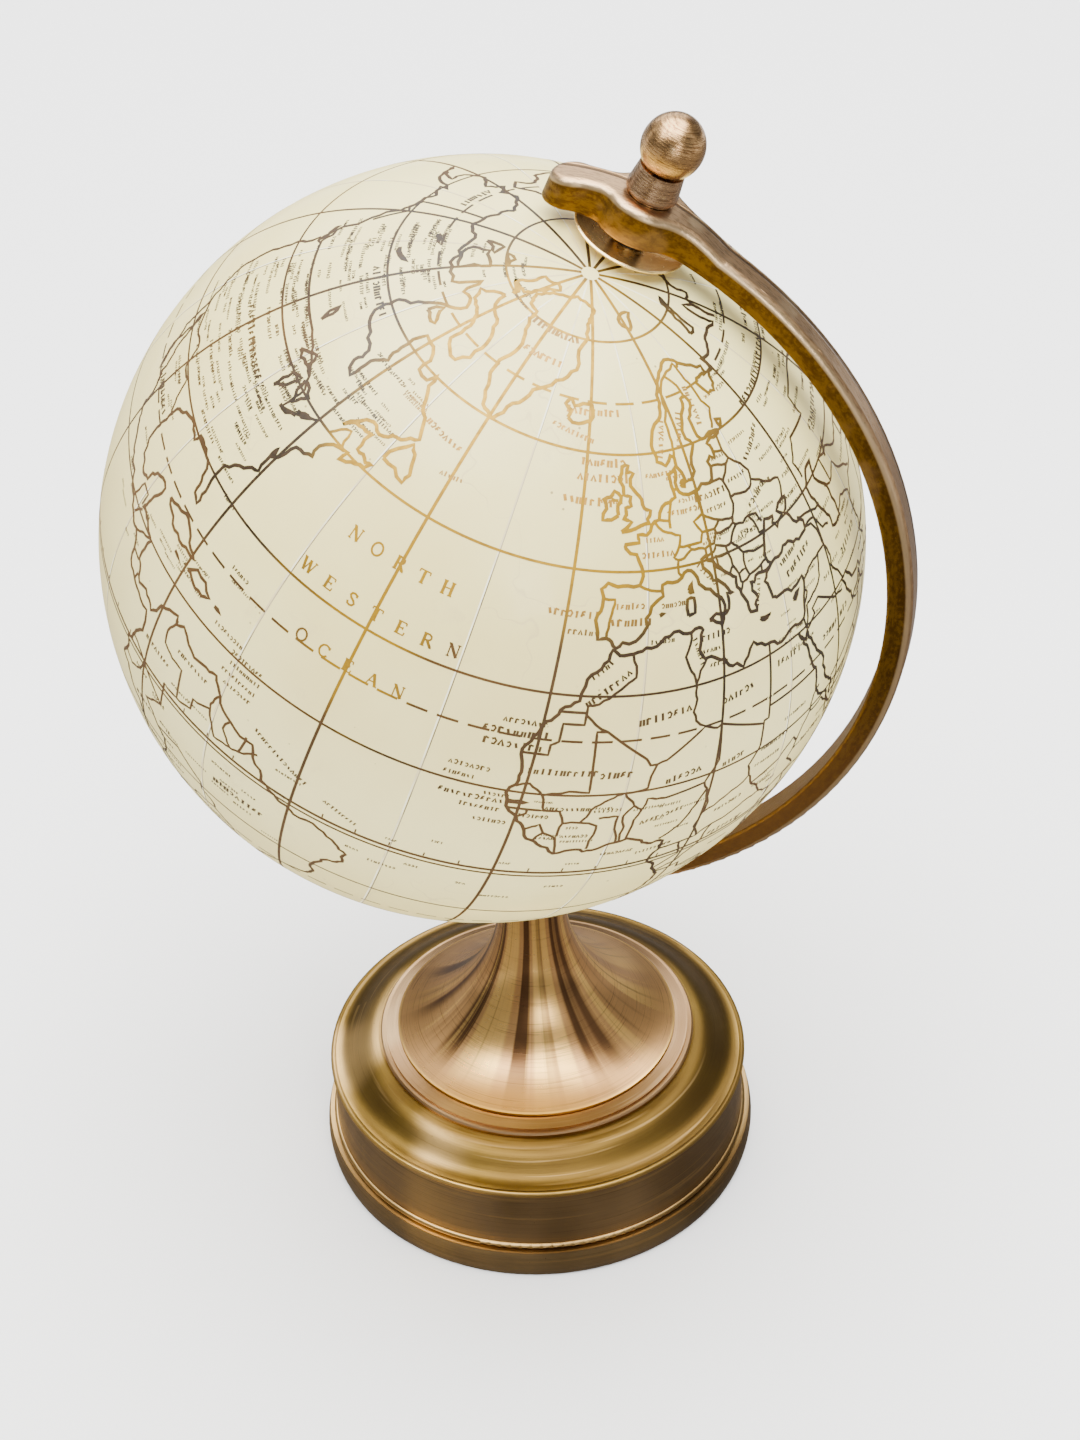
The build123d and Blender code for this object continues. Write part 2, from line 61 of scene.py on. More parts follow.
# ---------------------------------------------------------------- shader benches
class Wire:
    """A number that varies over a surface. Python's operators on it add Math nodes."""

    def __init__(self, bench: "Bench", socket: bpy.types.NodeSocket) -> None:
        """Wraps one output socket.

        Args:
            bench: the material being made.
            socket: the output that carries the number.
        """
        self.bench = bench
        self.socket = socket

    def _math(self, operation: str, *values: Any) -> "Wire":
        """A Math node on these values.

        Args:
            operation: the Math node's operation.
            values: wires or numbers, in socket order.

        Returns:
            The node's result.
        """
        made = self.bench.node("ShaderNodeMath", {"operation": operation}, dict(enumerate(values)))
        return Wire(self.bench, made.outputs[0])

    def __add__(self, other: Any) -> "Wire":
        """self + other."""
        return self._math("ADD", self, other)

    def __radd__(self, other: Any) -> "Wire":
        """other + self."""
        return self._math("ADD", other, self)

    def __sub__(self, other: Any) -> "Wire":
        """self - other."""
        return self._math("SUBTRACT", self, other)

    def __rsub__(self, other: Any) -> "Wire":
        """other - self."""
        return self._math("SUBTRACT", other, self)

    def __mul__(self, other: Any) -> "Wire":
        """self * other."""
        return self._math("MULTIPLY", self, other)

    def __rmul__(self, other: Any) -> "Wire":
        """other * self."""
        return self._math("MULTIPLY", other, self)

    def __truediv__(self, other: Any) -> "Wire":
        """self / other."""
        return self._math("DIVIDE", self, other)

    def __pow__(self, other: Any) -> "Wire":
        """self to a power."""
        return self._math("POWER", self, other)

    def __abs__(self) -> "Wire":
        """The size of self, without its sign."""
        return self._math("ABSOLUTE", self)

    def most(self, other: Any) -> "Wire":
        """The greater of two."""
        return self._math("MAXIMUM", self, other)

    def least(self, other: Any) -> "Wire":
        """The smaller of two."""
        return self._math("MINIMUM", self, other)

    def sine(self) -> "Wire":
        """The sine of self, in radians."""
        return self._math("SINE", self)

    def angle(self, x: Any) -> "Wire":
        """The angle whose tangent is self / x."""
        return self._math("ARCTAN2", self, x)

    def step(self, low: float, high: float) -> "Wire":
        """A soft step.

        Args:
            low: where the step starts.
            high: where it ends; below low it falls instead of rising.

        Returns:
            0 before the step and 1 after it.
        """
        ends = (0.0, 1.0) if low < high else (1.0, 0.0)
        made = self.bench.node(
            "ShaderNodeMapRange",
            {"interpolation_type": "SMOOTHSTEP"},
            {0: self, 1: min(low, high), 2: max(low, high), 3: ends[0], 4: ends[1]},
        )
        return Wire(self.bench, made.outputs[0])

    def near(self, centre: float, half: float, soft: float) -> "Wire":
        """1 within half of centre, falling to 0 over soft."""
        return abs(self - centre).step(half + soft, half)


class Bench:
    """One material and the nodes that make it."""

    def __init__(self, name: str) -> None:
        """Starts an empty material with a Principled shader.

        Args:
            name: the material's name.
        """
        self.material = bpy.data.materials.new(name)
        self.material.use_nodes = True
        self.tree = self.material.node_tree
        self.tree.nodes.clear()
        output = self.tree.nodes.new("ShaderNodeOutputMaterial")
        self.shader = self.tree.nodes.new("ShaderNodeBsdfPrincipled")
        self.tree.links.new(self.shader.outputs[0], output.inputs[0])
        self.place = self.tree.nodes.new("ShaderNodeTexCoord").outputs["Object"]

    def set_socket(self, target: bpy.types.NodeSocket, value: Any) -> None:
        """Links a wire or an output to a socket, or sets its number.

        Args:
            target: the socket.
            value: a wire, an output, or a number or colour.
        """
        source = value.socket if isinstance(value, Wire) else value
        if isinstance(source, bpy.types.NodeSocket):
            self.tree.links.new(source, target)
        else:
            target.default_value = source

    def node(self, kind: str, settings: Mapping[str, Any], sockets: Mapping[Any, Any]) -> bpy.types.Node:
        """Adds any node.

        Args:
            kind: the node's type.
            settings: its properties, set first.
            sockets: the values or links of its inputs.

        Returns:
            The node.
        """
        made = self.tree.nodes.new(kind)
        for key, value in settings.items():
            setattr(made, key, value)
        for key, value in sockets.items():
            self.set_socket(made.inputs[key], value)
        return made

    def parts(self, vector: Any) -> tuple[Wire, Wire, Wire]:
        """The X, Y and Z of a vector."""
        made = self.node("ShaderNodeSeparateXYZ", {}, {0: vector})
        return tuple(Wire(self, made.outputs[i]) for i in range(3))

    def join(self, x: Any, y: Any, z: Any) -> bpy.types.NodeSocket:
        """A vector from three numbers."""
        return self.node("ShaderNodeCombineXYZ", {}, {0: x, 1: y, 2: z}).outputs[0]

    def vector(self, operation: str, a: Any, b: Any) -> bpy.types.Node:
        """A Vector Math node on two vectors."""
        return self.node("ShaderNodeVectorMath", {"operation": operation}, {0: a, 1: b})

    def from_point(self, point: Sequence[float]) -> Wire:
        """The distance from a point of the row frame."""
        return Wire(self, self.vector("DISTANCE", self.place, tuple(point)).outputs["Value"])

    def noise(self, scale: float, detail: float = 3.0, at: Any = None, roughness: float = 0.5) -> Wire:
        """A noise field.

        Args:
            scale: waves per metre, or per unit of the given vector.
            detail: octaves.
            at: the vector it reads, the object's own place if none is given.
            roughness: share of each finer octave.

        Returns:
            A number about 0.5, mostly from 0.25 to 0.75.
        """
        sockets = {
            "Vector": self.place if at is None else at,
            "Scale": scale,
            "Detail": detail,
            "Roughness": roughness,
        }
        return Wire(self, self.node("ShaderNodeTexNoise", {}, sockets).outputs["Fac"])

    def cells(self, scale: float, at: Any = None) -> Wire:
        """The distance to the nearest of scattered points."""
        sockets = {"Vector": self.place if at is None else at, "Scale": scale}
        return Wire(self, self.node("ShaderNodeTexVoronoi", {}, sockets).outputs["Distance"])

    def mix(self, share: Any, first: Any, second: Any) -> bpy.types.NodeSocket:
        """A colour between two others.

        Args:
            share: 0 gives first, 1 gives second.
            first: a colour or an output.
            second: a colour or an output.

        Returns:
            The mixed colour's output.
        """
        full = [(*c, 1.0) if isinstance(c, tuple) else c for c in (first, second)]
        made = self.node("ShaderNodeMix", {"data_type": "RGBA"}, {0: share, 6: full[0], 7: full[1]})
        return made.outputs[2]

    def bump(self, height: Wire, depth: float, under: Any = None) -> bpy.types.NodeSocket:
        """A bumped normal.

        Args:
            height: 0 to 1 over the relief.
            depth: the relief's depth in metres.
            under: a bumped normal that this one is laid over.

        Returns:
            The normal's output.
        """
        sockets = {"Height": height, "Distance": depth, "Strength": 1.0}
        if under is not None:
            sockets["Normal"] = under
        return self.node("ShaderNodeBump", {}, sockets).outputs[0]

    def finish(self, **sockets: Any) -> bpy.types.Material:
        """Sets the shader's sockets and ends the material.

        Args:
            sockets: their values or links, with each space in a name as an underscore.

        Returns:
            The material.
        """
        for key, value in sockets.items():
            name = key.replace("_", " ")
            value = (*value, 1.0) if isinstance(value, tuple) and len(value) == 3 else value
            self.set_socket(self.shader.inputs[name], value)
        return self.material


# ---------------------------------------------------------------- modelling bench
class Bencher:
    """Small moves on Blender's own tools, as by hand."""

    @staticmethod
    def clear() -> None:
        """Leaves nothing selected."""
        if bpy.context.object and bpy.context.object.mode != "OBJECT":
            bpy.ops.object.mode_set(mode="OBJECT")
        bpy.ops.object.select_all(action="DESELECT")

    @classmethod
    def take(cls, piece: bpy.types.Object) -> None:
        """Selects one piece alone and makes it active.

        Args:
            piece: the piece.
        """
        cls.clear()
        piece.select_set(True)
        bpy.context.view_layer.objects.active = piece

    @classmethod
    def modify(cls, piece: bpy.types.Object, kind: str, **settings: Any) -> None:
        """Adds a modifier and applies it.

        Args:
            piece: the piece.
            kind: the modifier's type.
            settings: its properties.
        """
        cls.take(piece)
        made = piece.modifiers.new(kind.title(), kind)
        for key, value in settings.items():
            setattr(made, key, value)
        bpy.ops.object.modifier_apply(modifier=made.name)

    @classmethod
    def settle(cls, piece: bpy.types.Object) -> None:
        """Puts the piece's place into its mesh."""
        cls.take(piece)
        bpy.ops.object.transform_apply(location=True, rotation=True, scale=True)

    @staticmethod
    def from_strips(name: str, points: np.ndarray, faces: Sequence[Sequence[int]]) -> bpy.types.Object:
        """A flat mesh laid from its corners.

        Args:
            name: the piece's name.
            points: its corners.
            faces: the corners of each face.

        Returns:
            The piece.
        """
        mesh = bpy.data.meshes.new(name)
        mesh.from_pydata(points.tolist(), [], list(faces))
        mesh.update()
        made = bpy.data.objects.new(name, mesh)
        bpy.context.scene.collection.objects.link(made)
        return made


def dress(piece: bpy.types.Object, material: bpy.types.Material) -> None:
    """Gives a piece one material in place of any it has."""
    piece.data.materials.clear()
    piece.data.materials.append(material)


# ---------------------------------------------------------------- finishes
@dataclass(frozen=True)
class MapPaper:
    """Cream printed paper under a clear gloss varnish, with painted shade towards the bottom of the ball."""

    centre: Vector
    cream: Colour = (0.87, 0.765, 0.33)
    shade: Colour = (0.76, 0.625, 0.235)
    stain: Colour = (0.62, 0.50, 0.24)
    fleck: Colour = (0.20, 0.13, 0.05)

    def make(self) -> bpy.types.Material:
        """The paper's material.

        Returns:
            The material.
        """
        bench = Bench("map_paper")
        cloud = bench.noise(14.0, 4.0).step(0.35, 0.68)
        colour = bench.mix(cloud * 0.8, self.cream, self.shade)
        # Painted shade: the paper darkens towards the bottom of the ball, where less light falls.
        low = bench.parts(bench.place)[2].step(self.centre.z, self.centre.z - 0.09)
        colour = bench.mix(low * 0.6, colour, self.shade)
        smear = bench.noise(60.0, 5.0, roughness=0.7).step(0.60, 0.74)
        colour = bench.mix(smear * 0.28, colour, self.stain)
        bend = bench.noise(38.0, 3.0)
        crease = abs(bend - 0.5).step(0.006, 0.0) * bench.noise(26.0, 1.0).step(0.55, 0.66)
        colour = bench.mix(crease * 0.5, colour, self.stain)
        specks = bench.cells(260.0).step(0.10, 0.06) * bench.noise(40.0, 1.0).step(0.60, 0.68)
        colour = bench.mix(specks * 0.7, colour, self.fleck)
        ripple = bench.noise(55.0, 2.0)
        normal = bench.bump(ripple, 0.00012)
        normal = bench.bump(bench.noise(900.0, 2.0), 0.000006, normal)
        normal = bench.bump(1 - crease, 0.00002, normal)
        return bench.finish(
            Base_Color=colour,
            Roughness=0.42 + cloud * 0.08,
            Normal=normal,
            Coat_Weight=0.22,
            Coat_Roughness=0.13,
            Specular_IOR_Level=0.28,
        )


@dataclass(frozen=True)
class FoilLightPatch:
    """A patch of the foil where light is painted: a bright patch is a painted reflection, a dark one painted shade."""

    centre: Vector
    reach: float


@dataclass(frozen=True)
class MapFoil:
    """Gold foil print in copper and brown, with painted reflections as bright gold patches and painted shade as dark
    brown ones.
    """

    name: str
    painted_reflection_at: tuple[FoilLightPatch, ...]
    painted_shade_at: tuple[FoilLightPatch, ...]
    bright: Colour = (0.40, 0.22, 0.001)
    copper: Colour = (0.105, 0.048, 0.008)
    brown: Colour = (0.021, 0.012, 0.004)

    def make(self) -> bpy.types.Material:
        """The foil's material.

        Returns:
            The material.
        """
        bench = Bench(self.name)
        wander = (bench.noise(30.0, 3.0) - 0.5) * 0.05
        bright = self._cover(bench, wander, self.painted_reflection_at)
        dark = self._cover(bench, wander, self.painted_shade_at)
        grain = bench.noise(420.0, 3.0, roughness=0.7).step(0.35, 0.7)
        colour = bench.mix(bench.noise(20.0, 2.0).step(0.45, 0.62) * 0.6, self.copper, self.brown)
        # Painted shade and painted reflection: the foil is browned within the dark patches and turned bright gold
        # within the bright ones.
        colour = bench.mix(dark, colour, self.brown)
        colour = bench.mix(bright, colour, self.bright)
        colour = bench.mix(grain * 0.35, colour, self.copper)
        return bench.finish(
            Base_Color=colour,
            Metallic=0.2 + bright * 0.2,
            Roughness=0.40 + grain * 0.2,
            Normal=bench.bump(grain, 0.00001),
        )

    @staticmethod
    def _cover(bench: Bench, wander: Wire, tones: Iterable[FoilLightPatch]) -> Wire:
        """The union of some patches.

        Args:
            bench: the material being made.
            wander: how far each edge is shifted, over the surface.
            tones: the patches.

        Returns:
            1 within them and 0 outside.
        """
        cover: Any = 0.0
        for tone in tones:
            patch = (bench.from_point(tone.centre) + wander).step(tone.reach, tone.reach * 0.45)
            cover = patch.most(cover)
        return cover


@dataclass(frozen=True)
class JointLine:
    """The edge of a gore, where the paper's cut shows: the pale line is the cut with a painted highlight, the dark line
    the joint with a painted shadow.
    """

    name: str
    colour: Colour
    worn: Colour

    def make(self) -> bpy.types.Material:
        """The joint's material.

        Returns:
            The material.
        """
        bench = Bench(self.name)
        wear = bench.noise(70.0, 3.0).step(0.42, 0.6)
        return bench.finish(
            Base_Color=bench.mix(wear, self.colour, self.worn),
            Roughness=0.45 + wear * 0.2,
            Normal=bench.bump(bench.noise(500.0, 2.0), 0.00001),
        )


@dataclass(frozen=True)
class Zone:
    """One height band of a turned shell, with the colour painted there: the metal's tone, with painted light where the
    band has it.
    """

    low: float
    high: float
    colour: Colour
    soft: float = 0.0004


@dataclass(frozen=True)
class SpunBrass:
    """Antiqued brass, spun and brushed round its own upright axis, with painted reflections laid over it in dark and
    light blotches.
    """

    name: str
    base: Colour
    dark: Colour
    light: Colour
    zones: tuple[Zone, ...] = ()
    roughness: float = 0.30
    reflection_streak: float = 0.5
    anisotropy: float = 0.7

    def make(self) -> bpy.types.Material:
        """The metal's material.

        Returns:
            The material.
        """
        bench = Bench(self.name)
        x, y, z = bench.parts(bench.place)
        radius = (x * x + y * y) ** 0.5
        bearing = y.angle(x)
        ring = bench.join(radius * 2600.0, z * 2600.0, bearing * 1.4)
        brush = bench.noise(1.0, 4.0, ring, 0.65)
        wide = bench.noise(1.0, 2.0, bench.join(radius * 500.0, z * 500.0, bearing * 0.9), 0.5)
        colour: Any = self.base
        for zone in self.zones:
            middle, half = (zone.low + zone.high) / 2, (zone.high - zone.low) / 2
            colour = bench.mix(z.near(middle, half - zone.soft / 2, zone.soft), colour, zone.colour)
        # Painted reflection: broad dark and light blotches stand for the room mirrored in the metal.
        reflection_blotch = bench.noise(1.0, 2.0, bench.join(x * 22.0, y * 22.0, z * 9.0), 0.5)
        colour = bench.mix(reflection_blotch.step(0.42, 0.70) * self.reflection_streak, colour, self.dark)
        colour = bench.mix(reflection_blotch.step(0.47, 0.30) * self.reflection_streak, colour, self.light)
        colour = bench.mix(brush.step(0.50, 0.72) * 0.35, colour, self.dark)
        colour = bench.mix(wide.step(0.56, 0.70) * 0.25, colour, self.light)
        spot = bench.cells(420.0).step(0.09, 0.04) * bench.noise(90.0, 1.0).step(0.6, 0.7)
        colour = bench.mix(spot * 0.5, colour, self.dark)
        return bench.finish(
            Base_Color=colour,
            Metallic=1.0,
            Roughness=self.roughness + brush * 0.16 + reflection_blotch * 0.06,
            Anisotropic=self.anisotropy,
            Normal=bench.bump(brush, 0.000018),
        )


@dataclass(frozen=True)
class FlaredBrass:
    """Rose-toned polished brass over the flared stem, with painted reflections in fine streaks up and down it and a
    painted highlight on the foot's edge.
    """

    foot_z: float
    neck_z: float
    foot_r: float
    base: Colour = (0.60, 0.33, 0.125)
    dark: Colour = (0.095, 0.044, 0.020)
    light: Colour = (0.92, 0.56, 0.17)

    def make(self) -> bpy.types.Material:
        """The stem's material.

        Returns:
            The material.
        """
        bench = Bench("flared_brass")
        x, y, z = bench.parts(bench.place)
        radius = (x * x + y * y) ** 0.5
        bearing = y.angle(x)
        fan = bench.vector("NORMALIZE", bench.join(x, y, 0.0), (0.0, 0.0, 0.0)).outputs[0]
        reflection_lobe = bench.noise(2.0, 2.0, fan, 0.6)
        fine_reflection = bench.noise(7.0, 3.0, fan, 0.6)
        up = z.step(self.foot_z, self.neck_z)
        strong = 0.12 + radius.step(self.foot_r - 0.003, self.foot_r * 0.66) * 0.88
        # Painted reflection: dark and light lobes, stronger towards the foot, stand for the room mirrored in the
        # polished flare.
        colour = bench.mix(reflection_lobe.step(0.51, 0.56) * strong * 0.92, self.base, self.dark)
        colour = bench.mix(reflection_lobe.step(0.47, 0.42) * strong, colour, self.light)
        colour = bench.mix(fine_reflection.step(0.54, 0.66) * strong * 0.5, colour, self.dark)
        colour = bench.mix(fine_reflection.step(0.43, 0.34) * strong * 0.5, colour, self.light)
        turning = bench.noise(1.0, 3.0, bench.join(radius * 3200.0, z * 900.0, bearing * 1.2), 0.6)
        colour = bench.mix(turning.step(0.52, 0.72) * (0.45 - up * 0.3), colour, self.dark)
        # Painted highlight along the foot's edge.
        edge_highlight = radius.step(self.foot_r - 0.0009, self.foot_r - 0.0002)
        colour = bench.mix(edge_highlight, colour, self.light)
        return bench.finish(
            Base_Color=colour,
            Metallic=1.0,
            Roughness=0.20 + turning * 0.14 + fine_reflection * 0.06,
            Anisotropic=0.75,
            Normal=bench.bump(turning, 0.000014),
        )


@dataclass(frozen=True)
class CastBrass:
    """The arm's cast brass: rough amber sides with a ground and polished outer face, a painted shadow on the inner
    face, painted shade low on the outer face and a painted highlight along its edge.
    """

    centre: Vector
    inner_r: float
    outer_r: float
    crown_centre: Vector
    crown_r: float
    amber: Colour = (0.175, 0.090, 0.011)
    grain: Colour = (0.075, 0.034, 0.006)
    rose: Colour = (0.48, 0.30, 0.155)
    bright: Colour = (0.95, 0.72, 0.42)
    scratch_and_shade: Colour = (0.16, 0.09, 0.04)
    copper: Colour = (0.36, 0.18, 0.06)
    lower_face_shade: Colour = (0.24, 0.14, 0.07)

    def make(self) -> bpy.types.Material:
        """The arm's material.

        Returns:
            The material.
        """
        bench = Bench("cast_brass")
        x, y, z = bench.parts(bench.place)
        dx, dz = x - self.centre.x, z - self.centre.z
        radius = (dx * dx + dz * dz) ** 0.5
        cx, cz = x - self.crown_centre.x, z - self.crown_centre.z
        crown = (cx * cx + cz * cz) ** 0.5 - self.crown_r
        depth = (radius - self.outer_r).least(crown)
        outer = depth.step(-0.0016, -0.0008)
        inner_face_shade = radius.step(self.inner_r + 0.0006, self.inner_r + 0.0001)
        along = dz.angle(dx)
        lay = bench.join(along * 26.0, radius * 700.0, y * 700.0)
        cast = bench.noise(1.0, 5.0, lay, 0.75)
        pits = bench.noise(850.0, 4.0, roughness=0.7)
        band = depth.near(-0.0029, 0.0007, 0.0011)
        side = bench.mix(cast.step(0.44, 0.62) * 0.85, self.amber, self.grain)
        side = bench.mix(band * pits.step(0.42, 0.6) * 0.8, side, self.grain)
        patch = bench.noise(60.0, 3.0)
        side = bench.mix(patch.step(0.58, 0.72) * 0.25, side, self.rose)
        side = bench.mix(z.step(self.centre.z - 0.01, self.centre.z - 0.08) * 0.6, side, self.copper)
        # Painted shadow: the inner face, that looks at the ball, is darkened.
        side = bench.mix(inner_face_shade * 0.9, side, self.scratch_and_shade)
        lay_fine = bench.join(along * 40.0, radius * 900.0, y * 2400.0)
        scratch = bench.noise(1.0, 4.0, lay_fine, 0.65)
        face = bench.mix(scratch.step(0.47, 0.66) * 0.65, self.rose, self.scratch_and_shade)
        face = bench.mix(patch.step(0.44, 0.30) * 0.5, face, self.bright)
        groove = y.near(0.0023, 0.0004, 0.0005) * z.step(self.centre.z - 0.03, self.centre.z + 0.01)
        # Painted shade: the outer face darkens below the crown.
        face = bench.mix(z.step(self.centre.z + 0.085, self.centre.z + 0.02) * 0.65, face, self.lower_face_shade)
        face = bench.mix(groove * 0.75, face, self.grain)
        # Painted highlight along the ridge between the side and the outer face.
        edge_highlight = depth.near(-0.0011, 0.0003, 0.0006)
        colour = bench.mix(outer, side, face)
        colour = bench.mix(edge_highlight * 0.4, colour, self.bright)
        rough = 0.36 - outer * 0.12 + pits * 0.12
        normal = bench.bump(pits, 0.00006)
        normal = bench.bump(1 - groove, 0.00018, normal)
        normal = bench.bump(cast, 0.00010, normal)
        return bench.finish(Base_Color=colour, Metallic=1.0, Roughness=rough, Normal=normal)


@dataclass(frozen=True)
class TurnedBrass:
    """Small polished brass turnings, with their tool marks round a leaning axis."""

    name: str
    centre: Vector
    axis: Vector
    base: Colour = (0.62, 0.40, 0.20)
    dark: Colour = (0.11, 0.05, 0.018)
    light: Colour = (0.98, 0.72, 0.40)
    roughness: float = 0.15
    marks: float = 0.75

    def make(self) -> bpy.types.Material:
        """The turning's material.

        Returns:
            The material.
        """
        bench = Bench(self.name)
        local = bench.vector("SUBTRACT", bench.place, tuple(self.centre)).outputs[0]
        height = Wire(bench, bench.vector("DOT_PRODUCT", local, tuple(self.axis)).outputs["Value"])
        across = bench.vector("SCALE", bench.vector("NORMALIZE", local, (0.0, 0.0, 0.0)).outputs[0], (0.0, 0.0, 0.0))
        across.inputs["Scale"].default_value = 1.5
        drift = bench.noise(1.0, 1.0, across.outputs[0])
        marks = bench.noise(1.0, 4.0, bench.join(height * 2600.0, drift * 6.0, 0.0), 0.7)
        patch = bench.noise(150.0, 3.0, roughness=0.6)
        colour = bench.mix(marks.step(0.46, 0.60) * self.marks, self.base, self.dark)
        colour = bench.mix(patch.step(0.50, 0.66) * 0.4, colour, self.dark)
        colour = bench.mix(patch.step(0.42, 0.30) * 0.5, colour, self.light)
        return bench.finish(
            Base_Color=colour,
            Metallic=1.0,
            Roughness=self.roughness + marks * 0.14 + patch * 0.08,
            Normal=bench.bump(marks, 0.00007),
        )


@dataclass(frozen=True)
class Plain:
    """A simpler finish for the pieces inside: a mottled colour with its own grain."""

    name: str
    colour: Colour
    shade: Colour
    scale: float
    roughness: float
    metallic: float = 0.0
    relief: float = 0.00003

    def make(self) -> bpy.types.Material:
        """The finish's material.

        Returns:
            The material.
        """
        bench = Bench(self.name)
        mottle = bench.noise(self.scale, 4.0, roughness=0.65)
        return bench.finish(
            Base_Color=bench.mix(mottle.step(0.38, 0.66), self.colour, self.shade),
            Metallic=self.metallic,
            Roughness=self.roughness + mottle * 0.15,
            Normal=bench.bump(bench.noise(self.scale * 6.0, 3.0), self.relief),
        )


